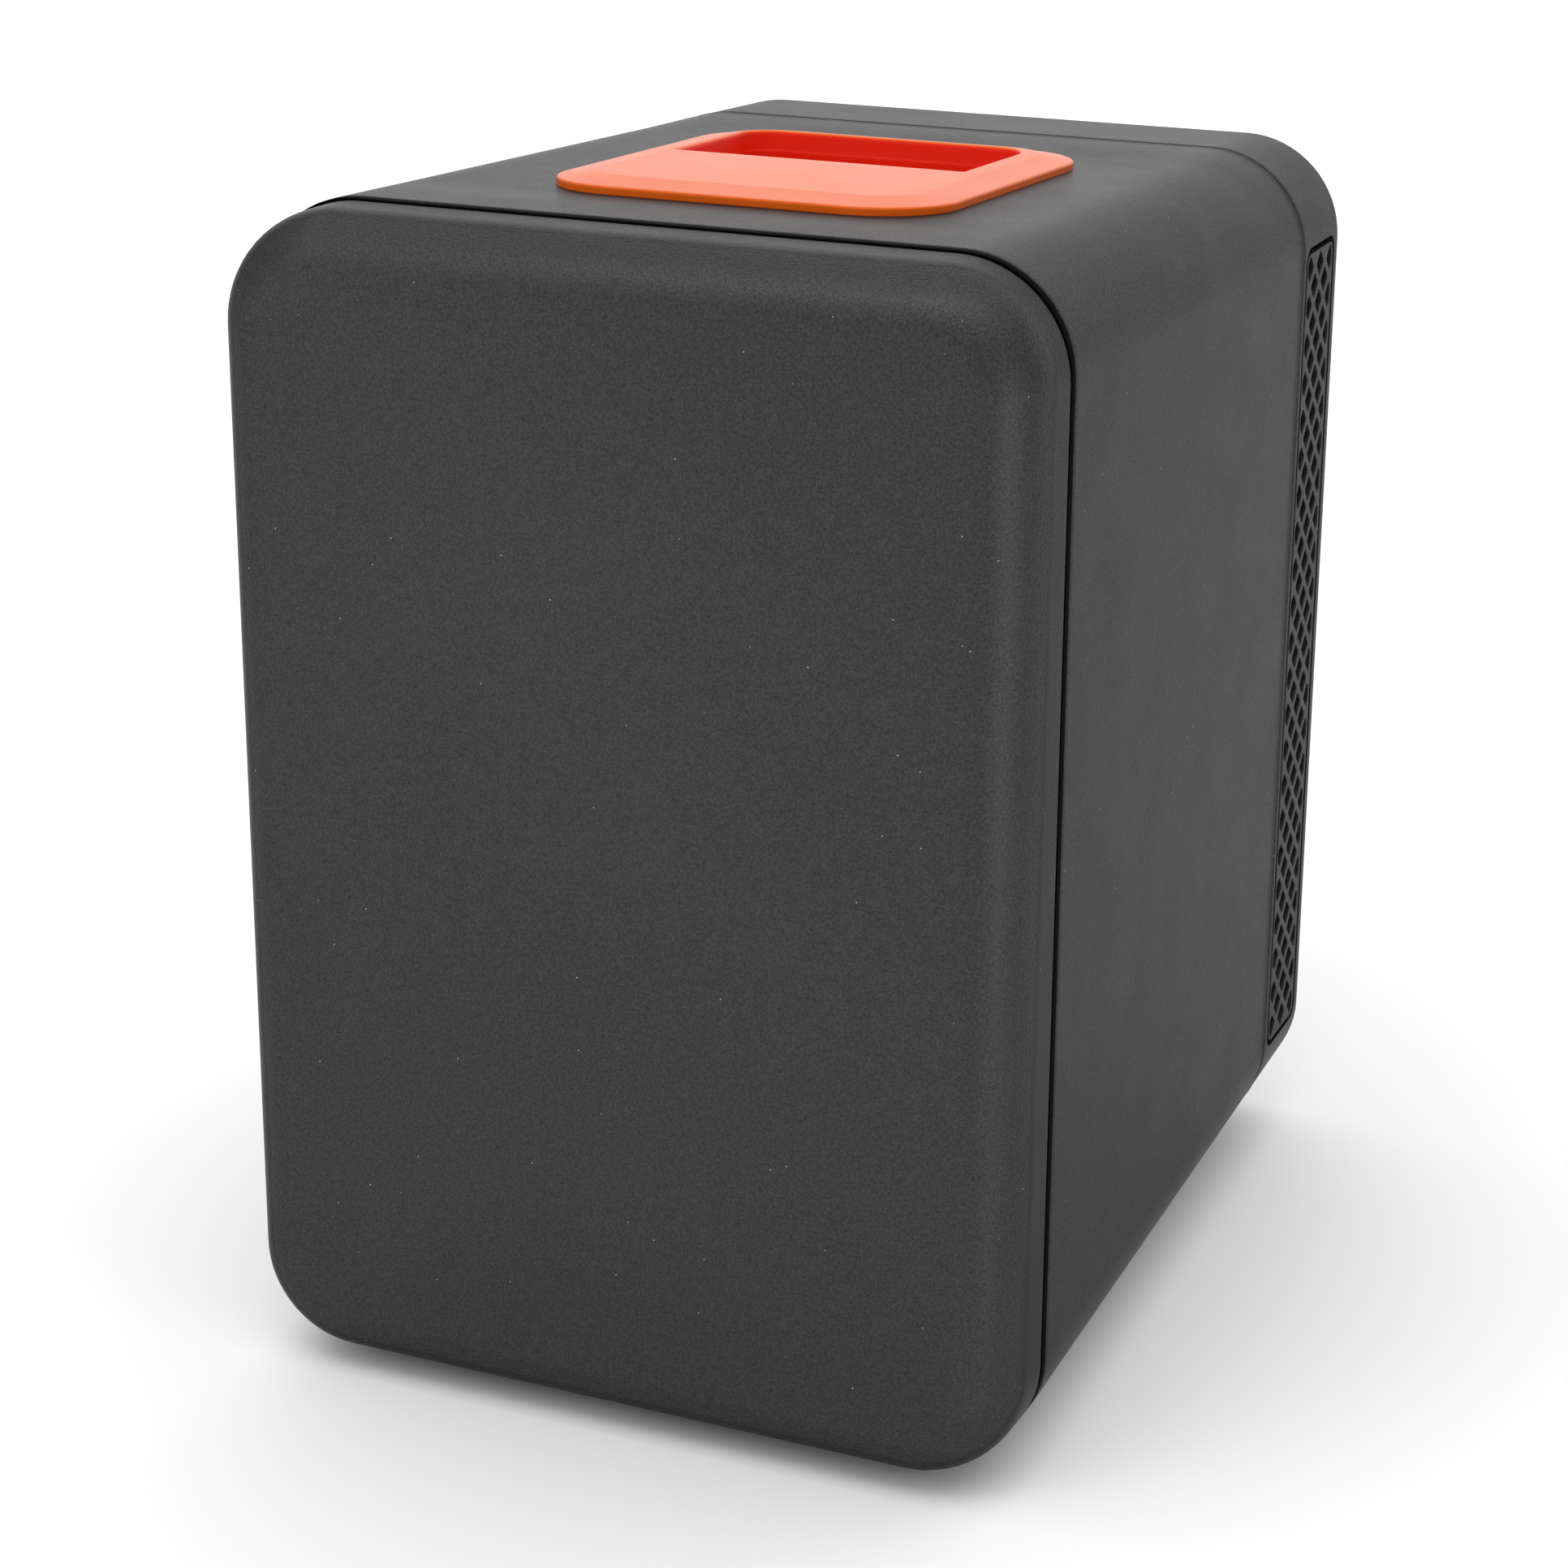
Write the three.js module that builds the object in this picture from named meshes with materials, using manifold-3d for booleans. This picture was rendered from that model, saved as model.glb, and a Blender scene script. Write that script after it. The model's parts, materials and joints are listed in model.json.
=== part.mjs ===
// A 9 litre thermoelectric mini fridge with a front door and a recessed carrying handle.
// Millimetres, +Z up, the door faces -Y. The shapes below are drawn in the body's own
// coordinates: x across, y as depth behind the body's front edge, z as height above the body's
// underside. The exported group then puts the origin on the surface it stands on, mid-depth.

import * as THREE from "three";
import { mergeVertices } from "three/addons/utils/BufferGeometryUtils.js";
import Module from "manifold-3d";

const wasm = await Module();
wasm.setup();

// ---------------------------------------------------------------- driving dimensions

const WIDTH = 240;
const HEIGHT = 340;
const CORNER_RADIUS = 31.4;
const DRAFT = 0.03; // every side leans in by this much per unit of depth
const FOOT_HEIGHT = 4;
const GAP = 0.3; // clearance between touching pieces
const WALL = 2.5;
const ARC_STEPS = 6; // chords in a quarter turn of a corner

const DOOR_FRONT = -34;
const DOOR_BACK = -4;
const DOOR_FILLET_WIDTH = 15;
const DOOR_FILLET_DEPTH = 19;
const DOOR_FILLET_STEPS = 5;
const FRAME_FRONT = -3.6; // face of the black frame that the door closes on
const FRAME_SEAT = -1.8; // recessed face that the gasket presses on
const SHELL_BACK = 222.2;
const COVER_FRONT = 223.8;
const COVER_BACK = 271;
const COVER_FILLET = 8;
const COVER_FILLET_STEPS = 3;

const CAVITY_HALF_WIDTH = 98;
const CAVITY_FLOOR = 24;
const CAVITY_TOP = 298;
const CAVITY_BACK = 164;
const CAVITY_RADIUS = 14;
const LINER_WALL = 2;
const RAIL_HEIGHTS = [92, 148]; // undersides of the shelf positions
const RAIL_SIZE = 3;

const FOAM_FRONT = 8.6;
const FOAM_BACK = 182;
const BULKHEAD_BACK = 184.3;

const SHELF_FRONT = 56;
const SHELF_BACK = CAVITY_BACK - 26;
const SHELF_THICKNESS = 3;
const SHELF_LIP = 8;

const HINGE_X = -116.4;
const HINGE_Y = -3.95;
const HINGE_HEIGHTS = [48, 268]; // underside of each hinge
const KNUCKLE_LENGTH = 12;
const KNUCKLE_RADIUS = 3.2;
const PIN_RADIUS = 1.5;
const LEAF_THICKNESS = 2.2;
const BODY_LEAF_LENGTH = 20;
const DOOR_LEAF_LENGTH = 13;

const ROOF_LEAN = Math.atan(DRAFT);
const HANDLE_CENTRE_Y = 110.6;
const HANDLE_WIDTH = 120.6;
const HANDLE_DEPTH = 136.2;
const HANDLE_RADIUS = 24;
const HANDLE_FLANGE = 1.8;
const POCKET_HALF_WIDTH = 46.5;
const POCKET_CENTRE_X = -2.5;
const POCKET_OPENING = [117, 170]; // front and back of the finger opening
const POCKET_FRONT = 88; // how far the pocket runs forward under the grip
const POCKET_DEPTH = 29;
const POCKET_WALL = 2.2;
const GRIP_THICKNESS = 5;

const VENT_FRONT = 226.7;
const VENT_BACK = 260.8;
const VENT_BOTTOM = 35.7;
const VENT_TOP = 303.1;
const VENT_RADIUS = 5.5;
const VENT_GROOVE = 1.6;
const DIAMOND_HALF = 4; // half the diagonal of a diamond hole
const DIAMOND_PITCH_Y = 11.75;
const DIAMOND_PITCH_Z = 12.09;
const DIAMOND_ROWS = 22;
const DIAMOND_FIRST_Z = 42.5;

const COOLER_Z = 200; // height of the module, the heat sinks and both fans
const HOT_SINK_HALF = 54;
const HOT_SINK_FRONT = 186.1;
const HOT_SINK_BASE = 5;
const HOT_FIN_DEPTH = 29;
const REAR_FAN_HALF = 46;
const REAR_FAN_FRONT = 220.8;
const REAR_FAN_DEPTH = 25;
const INNER_FAN_HALF = 30;
const INNER_FAN_FRONT = 142.5;
const INNER_FAN_DEPTH = 9;
const REAR_FAN_BORE = 43.5;
const REAR_FAN_TIP = 41.5;
const INNER_FAN_BORE = 28;
const INNER_FAN_TIP = 26.6;
const FAN_BLADES = 7;
const FAN_COVER_HALF = 42; // the cover over the inner fan
const REAR_GRILLE_RADIUS = 47;
const GRILLE_RING_PITCH = 11.5;
const GRILLE_HUB_RADIUS = 12;

const INLET_Z = 58; // height of the sockets, the switch and the lamps
const AC_X = -46;
const AC_PIN_OFFSET = 4.3;
const DC_X = 48;
const SWITCH_X = 0;
const ROCKER_Y = 265.4;
const PANEL_HALF_WIDTH = 74; // the inlet panel let into the rear cover
const PANEL_HALF_HEIGHT = 19;
const BOARD_Z = 34;
const AC_HALF_SIZE = [15, 9];
const AC_LOBE_RADIUS = 4.4;
const AC_PIN_RADIUS = 1.15;
const DC_RADIUS = 9;
const DC_SOCKET_RADIUS = 6.2;
const DC_PIN_RADIUS = 1.3;
const SOCKET_FLOOR = 256; // the depth that plugs reach
const SWITCH_HALF_SIZE = [10, 14];
const SWITCH_OPENING_HALF = [7.6, 11.6];
const ROCKER_HALF_WIDTH = 7;
const LED_RADIUS = 2;
const LED_PLACES = [
  ["cool_indicator", 22],
  ["warm_indicator", -22],
];
const AC_PINS = [
  ["ac_pin_left", AC_X - AC_PIN_OFFSET],
  ["ac_pin_right", AC_X + AC_PIN_OFFSET],
];
const SCREW_BOSS_RADIUS = 5;
const SCREW_HEAD_RADIUS = 3.6;
const SCREW_SHANK_RADIUS = 1.4;
const SCREW_PLACES = [
  [-88, 30],
  [88, 30],
  [-84, 306],
  [84, 306],
];
const FOOT_PLACES = [
  ["foot_front_left", -84, 24],
  ["foot_front_right", 84, 24],
  ["foot_rear_left", -80, 200],
  ["foot_rear_right", 80, 200],
];

const DOOR_LINER_BACK = -6.3;
const DOOR_LINER_WALL = 2;
const PLUG_BACK = 7;
const PLUG_HALF_WIDTH = 92;
const PLUG_FLOOR = 30;
const PLUG_TOP = 292;
const PLUG_RADIUS = 12;
// Name, underside and height of each door rack.
const RACK_PLACES = [
  ["door_rack_lower", 44, 62],
  ["door_rack_upper", 176, 44],
];
const RACK_HALF_WIDTH = 78;
const RACK_REACH = 33;

// ---------------------------------------------------------------- solids and booleans

// A three.js geometry as a manifold-3d solid.
function solid(geometry) {
  geometry.deleteAttribute("normal");
  geometry.deleteAttribute("uv");
  const merged = mergeVertices(geometry, 1e-4);
  return new wasm.Manifold(
    new wasm.Mesh({
      numProp: 3,
      vertProperties: merged.attributes.position.array,
      triVerts: new Uint32Array(merged.index.array),
    }),
  );
}

function join(first, ...others) {
  return others.reduce((sum, other) => sum.add(other), first);
}

function cut(base, ...tools) {
  return tools.reduce((rest, tool) => rest.subtract(tool), base);
}

// A manifold-3d solid as a geometry for a mesh.
function geometryOf(made) {
  const mesh = made.getMesh();
  return new THREE.BufferGeometry()
    .setAttribute("position", new THREE.BufferAttribute(mesh.vertProperties, 3))
    .setIndex(new THREE.BufferAttribute(mesh.triVerts, 1))
    .toNonIndexed();
}

function box(x0, x1, y0, y1, z0, z1) {
  return solid(
    new THREE.BoxGeometry(x1 - x0, y1 - y0, z1 - z0).translate(
      (x0 + x1) / 2,
      (y0 + y1) / 2,
      (z0 + z1) / 2,
    ),
  );
}

// A block that is the same size on both sides of x = centre.
function block(centreX, halfWidth, y0, y1, z0, z1) {
  return box(centreX - halfWidth, centreX + halfWidth, y0, y1, z0, z1);
}

function rodZ(x, y, z0, z1, radius, sides = 16) {
  const rod = new THREE.CylinderGeometry(radius, radius, z1 - z0, sides);
  return solid(rod.rotateX(Math.PI / 2).translate(x, y, (z0 + z1) / 2));
}

function rodY(x, z, y0, y1, radius, sides = 24) {
  const rod = new THREE.CylinderGeometry(radius, radius, y1 - y0, sides);
  return solid(rod.translate(x, (y0 + y1) / 2, z));
}

// A flat outline in x and z, pushed along +Y from y0 to y1.
function slabY(shape, y0, y1, curveSegments = ARC_STEPS) {
  const slab = new THREE.ExtrudeGeometry(shape, {
    depth: y1 - y0,
    bevelEnabled: false,
    curveSegments,
  });
  return solid(slab.rotateX(Math.PI / 2).translate(0, y1, 0));
}

// A flat outline in x and y, pushed up from z0 to z1.
function slabZ(shape, z0, z1, curveSegments = ARC_STEPS) {
  const slab = new THREE.ExtrudeGeometry(shape, {
    depth: z1 - z0,
    bevelEnabled: false,
    curveSegments,
  });
  return solid(slab.translate(0, 0, z0));
}

// A flat outline in y and z, pushed along +X between two distances from the middle.
function slabX(shape, x0, x1, curveSegments = 4) {
  const slab = new THREE.ExtrudeGeometry(shape, {
    depth: x1 - x0,
    bevelEnabled: false,
    curveSegments,
  });
  const turn = new THREE.Matrix4().set(0, 0, 1, x0, 1, 0, 0, 0, 0, 1, 0, 0, 0, 0, 0, 1);
  return solid(slab.applyMatrix4(turn));
}

// A flat outline in x and y, pushed along the leaning roof's normal from z0 to z1.
function slabRoof(shape, z0, z1) {
  const slab = new THREE.ExtrudeGeometry(shape, {
    depth: z1 - z0,
    bevelEnabled: false,
    curveSegments: ARC_STEPS,
  });
  return solid(slab.translate(0, 0, z0).rotateX(-ROOF_LEAN).translate(0, 0, HEIGHT));
}

function roundedRectangle(left, right, low, high, radius) {
  const quarter = Math.PI / 2;
  const shape = new THREE.Shape();
  shape.absarc(right - radius, high - radius, radius, 0, quarter);
  shape.absarc(left + radius, high - radius, radius, quarter, 2 * quarter);
  shape.absarc(left + radius, low + radius, radius, 2 * quarter, 3 * quarter);
  shape.absarc(right - radius, low + radius, radius, 3 * quarter, 4 * quarter);
  shape.closePath();
  return shape;
}

// The outline of the casing at one depth, drawn in by inset, as a ring of points.
function casingRing(y, inset, shrink = DRAFT * Math.max(y, 0)) {
  const halfWidth = WIDTH / 2 - shrink - inset;
  const halfHeight = HEIGHT / 2 - shrink - inset;
  const radius = Math.max(CORNER_RADIUS - inset, 2);
  const ring = [];
  const signs = [
    [1, 1],
    [-1, 1],
    [-1, -1],
    [1, -1],
  ];
  signs.forEach(([signX, signZ], corner) => {
    for (let step = 0; step <= ARC_STEPS; step++) {
      const angle = ((corner + step / ARC_STEPS) * Math.PI) / 2;
      const x = signX * (halfWidth - radius) + radius * Math.cos(angle);
      const z = signZ * (halfHeight - radius) + radius * Math.sin(angle);
      ring.push(new THREE.Vector3(x, y, HEIGHT / 2 + z));
    }
  });
  return ring;
}

// A solid through rings of equal length, given from front to back.
function loft(rings) {
  const count = rings[0].length;
  const position = rings.flat().flatMap((point) => point.toArray());
  const index = [];
  const last = (rings.length - 1) * count;
  for (let i = 1; i < count - 1; i++) {
    index.push(0, i, i + 1);
    index.push(last, last + i + 1, last + i);
  }
  for (let row = 0; row < rings.length - 1; row++) {
    for (let i = 0; i < count; i++) {
      const a = row * count + i;
      const b = row * count + ((i + 1) % count);
      index.push(a, a + count, b);
      index.push(b, a + count, b + count);
    }
  }
  const geometry = new THREE.BufferGeometry();
  geometry.setAttribute("position", new THREE.Float32BufferAttribute(position, 3));
  geometry.setIndex(index);
  return solid(geometry);
}

// The casing's drafted outline between two depths, drawn in by inset.
function casing(y0, y1, inset) {
  return loft([casingRing(y0, inset), casingRing(y1, inset)]);
}

// ---------------------------------------------------------------- shared cut-outs

function cavityOutline(grow) {
  return roundedRectangle(
    -CAVITY_HALF_WIDTH - grow,
    CAVITY_HALF_WIDTH + grow,
    CAVITY_FLOOR - grow,
    CAVITY_TOP + grow,
    CAVITY_RADIUS + grow,
  );
}

// Space for the two hinge leaves inside the casing's left wall.
function hingeLeafSpace(y0, y1) {
  return HINGE_HEIGHTS.map((z) => {
    const top = z + 2 * KNUCKLE_LENGTH + 1.3;
    return box(-118.5, -113.8, y0, y1, z - 1, top);
  });
}

function handleTubOutline(grow) {
  return roundedRectangle(
    POCKET_CENTRE_X - POCKET_HALF_WIDTH - POCKET_WALL - grow,
    POCKET_CENTRE_X + POCKET_HALF_WIDTH + POCKET_WALL + grow,
    POCKET_FRONT - POCKET_WALL - grow,
    POCKET_OPENING[1] + POCKET_WALL + grow,
    14,
  );
}

// ---------------------------------------------------------------- casing

function outerShell() {
  const tube = cut(casing(0, SHELL_BACK, 0), casing(-1, SHELL_BACK + 1, WALL));
  // The left front edge is bevelled so that the open door's side can swing past it.
  const bevel = new THREE.Shape([
    new THREE.Vector2(-121, -1),
    new THREE.Vector2(-114, -1),
    new THREE.Vector2(-114.9, -0.3),
    new THREE.Vector2(-121, 2.2),
  ]);
  const handleHole = slabRoof(handleTubOutline(0.5), -8, 2);
  return cut(tube, slabZ(bevel, -1, HEIGHT + 1), handleHole);
}

function frontFrame() {
  const face = casing(FRAME_FRONT, -GAP, 0);
  const seat = casing(FRAME_FRONT - 1, FRAME_SEAT, 7);
  const spigot = cut(casing(-1, 8, WALL + GAP), casing(-1.5, 9, WALL + GAP + 2.5));
  const mouth = slabY(cavityOutline(LINER_WALL + GAP), -5, 9);
  // On the hinge side the face stops short, and a set-back web carries the spigot instead.
  const hingeSide = box(-121, -112.3, -5, -GAP + 0.01, -1, HEIGHT + 1);
  const web = join(
    box(-117, -108, 0.6, 2.2, 32, HEIGHT - 32),
    box(-112.3, -108, -1, 2.2, 32, HEIGHT - 32),
  );
  const ring = cut(join(cut(face, seat), spigot), mouth, hingeSide);
  return cut(join(ring, web), ...hingeLeafSpace(-5, 9));
}

function innerLiner() {
  const outside = slabY(cavityOutline(LINER_WALL), FRAME_SEAT, CAVITY_BACK + LINER_WALL);
  const inside = slabY(cavityOutline(0), FRAME_SEAT - 1, CAVITY_BACK);
  const coldHole = box(-37, 37, CAVITY_BACK - 1, CAVITY_BACK + 5, COOLER_Z - 37, COOLER_Z + 37);
  const rails = RAIL_HEIGHTS.flatMap((z) =>
    [-1, 1].map((side) => {
      const edge = side * (CAVITY_HALF_WIDTH - RAIL_SIZE / 2 + 0.5);
      return block(edge, RAIL_SIZE / 2 + 0.5, 30, CAVITY_BACK - 4, z - RAIL_SIZE, z);
    }),
  );
  return join(cut(outside, inside, coldHole), ...rails);
}

function insulationFoam() {
  const body = casing(FOAM_FRONT, FOAM_BACK, WALL + GAP);
  const room = slabY(cavityOutline(LINER_WALL + GAP), 0, CAVITY_BACK + LINER_WALL + GAP);
  const channel = box(-21, 21, CAVITY_BACK, FOAM_BACK + 1, COOLER_Z - 21, COOLER_Z + 21);
  const sinkRecess = box(-37, 37, CAVITY_BACK, 167.3, COOLER_Z - 37, COOLER_Z + 37);
  const tub = slabRoof(handleTubOutline(0.5), -POCKET_DEPTH - POCKET_WALL - GAP, 2);
  return cut(body, room, channel, sinkRecess, tub, ...hingeLeafSpace(0, 17));
}

function rearBulkhead() {
  const plate = casing(FOAM_BACK + GAP, BULKHEAD_BACK, WALL + GAP);
  return cut(plate, box(-22, 22, FOAM_BACK, 186, COOLER_Z - 22, COOLER_Z + 22));
}

function rearCoverRings(inset) {
  const rings = [casingRing(COVER_FRONT, inset)];
  const radius = COVER_FILLET - inset;
  const start = COVER_BACK - COVER_FILLET;
  for (let step = 0; step <= COVER_FILLET_STEPS; step++) {
    const angle = (step / COVER_FILLET_STEPS) * (Math.PI / 2);
    const y = start + radius * Math.sin(angle);
    rings.push(casingRing(y, inset + radius * (1 - Math.cos(angle)), DRAFT * start));
  }
  return rings;
}

function ventOutline(grow) {
  return roundedRectangle(
    VENT_FRONT - grow,
    VENT_BACK + grow,
    VENT_BOTTOM - grow,
    VENT_TOP + grow,
    VENT_RADIUS + grow,
  );
}

function rearCover() {
  const outside = loft(rearCoverRings(0));
  const inside = loft([casingRing(COVER_FRONT - 1, WALL), ...rearCoverRings(WALL).slice(1)]);
  const spigot = cut(casing(216.5, COVER_FRONT + 1, WALL + GAP), casing(216, 230, WALL + 2.2));
  const spigotLink = cut(
    casing(COVER_FRONT, COVER_FRONT + 1.2, 1),
    casing(COVER_FRONT - 1, COVER_FRONT + 3, WALL + 2.2),
  );
  const bosses = SCREW_PLACES.map(([x, z]) => rodY(x, z, 256, COVER_BACK - 1, SCREW_BOSS_RADIUS, 10));
  const holes = SCREW_PLACES.map(([x, z]) => rodY(x, z, 255, COVER_BACK + 1, SCREW_SHANK_RADIUS + 0.5, 8));
  const sinks = SCREW_PLACES.map(([x, z]) =>
    rodY(x, z, COVER_BACK - 2.6, COVER_BACK + 1, SCREW_HEAD_RADIUS + 0.6, 12),
  );
  const windows = [
    slabX(ventOutline(0), 100, 125),
    slabX(ventOutline(0), -125, -100),
  ];
  const wallDepth = [COVER_BACK - 5, COVER_BACK + 1];
  const fanHole = rodY(0, COOLER_Z, ...wallDepth, REAR_GRILLE_RADIUS + 2 * GAP, 20);
  const panelHole = block(
    0,
    PANEL_HALF_WIDTH + GAP,
    ...wallDepth,
    INLET_Z - PANEL_HALF_HEIGHT - GAP,
    INLET_Z + PANEL_HALF_HEIGHT + GAP,
  );
  return cut(
    join(cut(outside, inside), spigot, spigotLink, ...bosses),
    ...holes,
    ...sinks,
    ...windows,
    fanHole,
    panelHole,
  );
}

// A block at the height of the sockets, given by its half width and half height.
function socketBlock(x, [halfWidth, halfHeight], y0, y1, grow = 0) {
  const low = INLET_Z - halfHeight - grow;
  return block(x, halfWidth + grow, y0, y1, low, INLET_Z + halfHeight + grow);
}

// The plate that carries the sockets, the switch and the lamps.
// A set-back flange holds it in the cover.
function inletPanel() {
  const back = COVER_BACK - WALL - GAP;
  const low = INLET_Z - PANEL_HALF_HEIGHT;
  const high = INLET_Z + PANEL_HALF_HEIGHT;
  const through = [COVER_BACK - 7, COVER_BACK + 1];
  const plate = block(0, PANEL_HALF_WIDTH, back - 0.5, COVER_BACK, low, high);
  const flange = block(0, PANEL_HALF_WIDTH + 2.5, back - 1.6, back, low - 2.5, high + 2.5);
  return cut(
    join(plate, flange),
    socketBlock(AC_X, AC_HALF_SIZE, ...through, GAP),
    rodY(DC_X, INLET_Z, ...through, DC_RADIUS + 2 * GAP, 20),
    socketBlock(SWITCH_X, SWITCH_HALF_SIZE, ...through, GAP),
    ...LED_PLACES.map(([, x]) => rodY(x, INLET_Z, ...through, LED_RADIUS + GAP, 12)),
  );
}

// One diamond hole; the outer ones are cut straight along the panel's edge.
function diamond(y, z, low, high) {
  const points = [];
  const reach = Math.min(DIAMOND_HALF, y - low);
  const ahead = Math.min(DIAMOND_HALF, high - y);
  points.push(new THREE.Vector2(y, z - DIAMOND_HALF));
  if (ahead < DIAMOND_HALF) {
    points.push(new THREE.Vector2(y + ahead, z - DIAMOND_HALF + ahead));
    points.push(new THREE.Vector2(y + ahead, z + DIAMOND_HALF - ahead));
  } else {
    points.push(new THREE.Vector2(y + DIAMOND_HALF, z));
  }
  points.push(new THREE.Vector2(y, z + DIAMOND_HALF));
  if (reach < DIAMOND_HALF) {
    points.push(new THREE.Vector2(y - reach, z + DIAMOND_HALF - reach));
    points.push(new THREE.Vector2(y - reach, z - DIAMOND_HALF + reach));
  } else {
    points.push(new THREE.Vector2(y - DIAMOND_HALF, z));
  }
  return new THREE.Path(points);
}

// The right-hand vent panel, drawn standing upright; its lean is the casing's draft.
function sideVentPanel() {
  const outline = ventOutline(-VENT_GROOVE);
  const middle = (VENT_FRONT + VENT_BACK) / 2;
  const margin = VENT_GROOVE + 1;
  for (let row = 0; row < 2 * DIAMOND_ROWS - 1; row++) {
    const z = DIAMOND_FIRST_Z + (row * DIAMOND_PITCH_Z) / 2;
    const columns = row % 2 === 0 ? [-1, 0, 1] : [-0.5, 0.5];
    for (const column of columns) {
      const y = middle + column * DIAMOND_PITCH_Y;
      outline.holes.push(diamond(y, z, VENT_FRONT + margin, VENT_BACK - margin));
    }
  }
  const panel = slabX(outline, -2.4, 0, 3);
  const rim = ventRing(1.4, -margin);
  const web = ventRing(-VENT_GROOVE - 0.2, -margin);
  return join(panel, slabX(rim, -4.6, -3.2), slabX(web, -4, -1.2));
}

// A square-cornered ring round the vent window, between two offsets from its edge.
function ventRing(outerGrow, innerGrow) {
  const corners = (grow) =>
    [
      [VENT_FRONT - grow, VENT_BOTTOM - grow],
      [VENT_BACK + grow, VENT_BOTTOM - grow],
      [VENT_BACK + grow, VENT_TOP + grow],
      [VENT_FRONT - grow, VENT_TOP + grow],
    ].map(([y, z]) => new THREE.Vector2(y, z));
  const ring = new THREE.Shape(corners(outerGrow));
  ring.holes.push(new THREE.Path(corners(innerGrow)));
  return ring;
}

function rearGrille() {
  const outer = REAR_GRILLE_RADIUS;
  const y0 = COVER_BACK - 3.4;
  const y1 = COVER_BACK - 0.6;
  const ringWidth = 2.6;
  const rings = [0, 1, 2].map((ring) => outer - ring * GRILLE_RING_PITCH).map((radius) =>
    cut(
      rodY(0, COOLER_Z, y0, y1, radius, 20),
      rodY(0, COOLER_Z, y0 - 1, y1 + 1, radius - ringWidth, 20),
    ),
  );
  const hub = rodY(0, COOLER_Z, y0, y1, GRILLE_HUB_RADIUS, 16);
  const spokes = [0, 1, 2, 3].map((step) => {
    const angle = ((step + 0.5) / 4) * 2 * Math.PI;
    const length = outer - 9.5;
    const spoke = new THREE.BoxGeometry(length, y1 - y0, 3)
      .translate(length / 2 + 8.5, 0, 0)
      .rotateY(angle)
      .translate(0, (y0 + y1) / 2, COOLER_Z);
    return solid(spoke);
  });
  return join(hub, ...rings, ...spokes);
}

// ---------------------------------------------------------------- handle

function handleInsert() {
  const flat = roundedRectangle(
    -HANDLE_WIDTH / 2,
    HANDLE_WIDTH / 2,
    HANDLE_CENTRE_Y - HANDLE_DEPTH / 2,
    HANDLE_CENTRE_Y + HANDLE_DEPTH / 2,
    HANDLE_RADIUS,
  );
  const flange = slabZ(flat, GAP, HANDLE_FLANGE);
  const tub = slabZ(handleTubOutline(0), -POCKET_DEPTH - POCKET_WALL, HANDLE_FLANGE - 0.5);
  const [openFront, openBack] = POCKET_OPENING;
  const left = POCKET_CENTRE_X - POCKET_HALF_WIDTH;
  const right = POCKET_CENTRE_X + POCKET_HALF_WIDTH;
  const room = roundedRectangle(left, right, POCKET_FRONT, openBack, 12);
  const mouth = roundedRectangle(left, right, openFront, openBack, 12);
  const squareFront = box(left, right, openFront, openFront + 14, -20, 5);
  return cut(
    join(flange, tub),
    slabZ(room, -POCKET_DEPTH, HANDLE_FLANGE - GRIP_THICKNESS),
    slabZ(mouth, -POCKET_DEPTH, HANDLE_FLANGE + 1),
    squareFront,
  );
}

// ---------------------------------------------------------------- cooler

function finnedSink(half, y0, base, finDepth, finThickness, finCount, direction) {
  const low = COOLER_Z - half;
  const high = COOLER_Z + half;
  const y1 = y0 + base;
  const plate = block(0, half, y0, y1, low, high);
  const pitch = (2 * half - finThickness) / (finCount - 1);
  const fins = [];
  for (let i = 0; i < finCount; i++) {
    const x = -half + finThickness / 2 + i * pitch;
    const front = direction > 0 ? y1 - 0.5 : y0 - finDepth;
    const back = direction > 0 ? y1 + finDepth : y0 + 0.5;
    fins.push(block(x, finThickness / 2, front, back, low, high));
  }
  return join(plate, ...fins);
}

function fanFrame(half, y0, depth, boreRadius, hubRadius) {
  const corner = half > 40 ? 5 : 3;
  const outline = roundedRectangle(-half, half, COOLER_Z - half, COOLER_Z + half, corner);
  const bore = rodY(0, COOLER_Z, y0 - 1, y0 + depth + 1, boreRadius, 24);
  const body = cut(slabY(outline, y0, y0 + depth, 3), bore);
  const thickness = half > 40 ? 3 : 1.6;
  const seat = rodY(0, COOLER_Z, y0, y0 + thickness, hubRadius, 16);
  const struts = [0, 1, 2, 3].map((step) => {
    const angle = ((step + 0.5) / 4) * 2 * Math.PI;
    const strut = new THREE.BoxGeometry(boreRadius - hubRadius + 3, thickness, 3)
      .translate((boreRadius + hubRadius) / 2, 0, 0)
      .rotateY(angle)
      .translate(0, y0 + thickness / 2, COOLER_Z);
    return solid(strut);
  });
  return join(body, seat, ...struts);
}

function fanRotor(y0, depth, hubRadius, tipRadius, bladeCount) {
  const hub = rodY(0, COOLER_Z, y0, y0 + depth, hubRadius, 16);
  const blades = [];
  const chord = depth * 0.72;
  for (let i = 0; i < bladeCount; i++) {
    const blade = new THREE.BoxGeometry(tipRadius - hubRadius + 1.5, chord, 1.4)
      .rotateX(Math.PI / 5)
      .translate((tipRadius + hubRadius) / 2 - 0.75, 0, 0)
      .rotateY((i / bladeCount) * 2 * Math.PI)
      .translate(0, y0 + depth / 2, COOLER_Z);
    blades.push(solid(blade));
  }
  return join(hub, ...blades);
}

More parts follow.
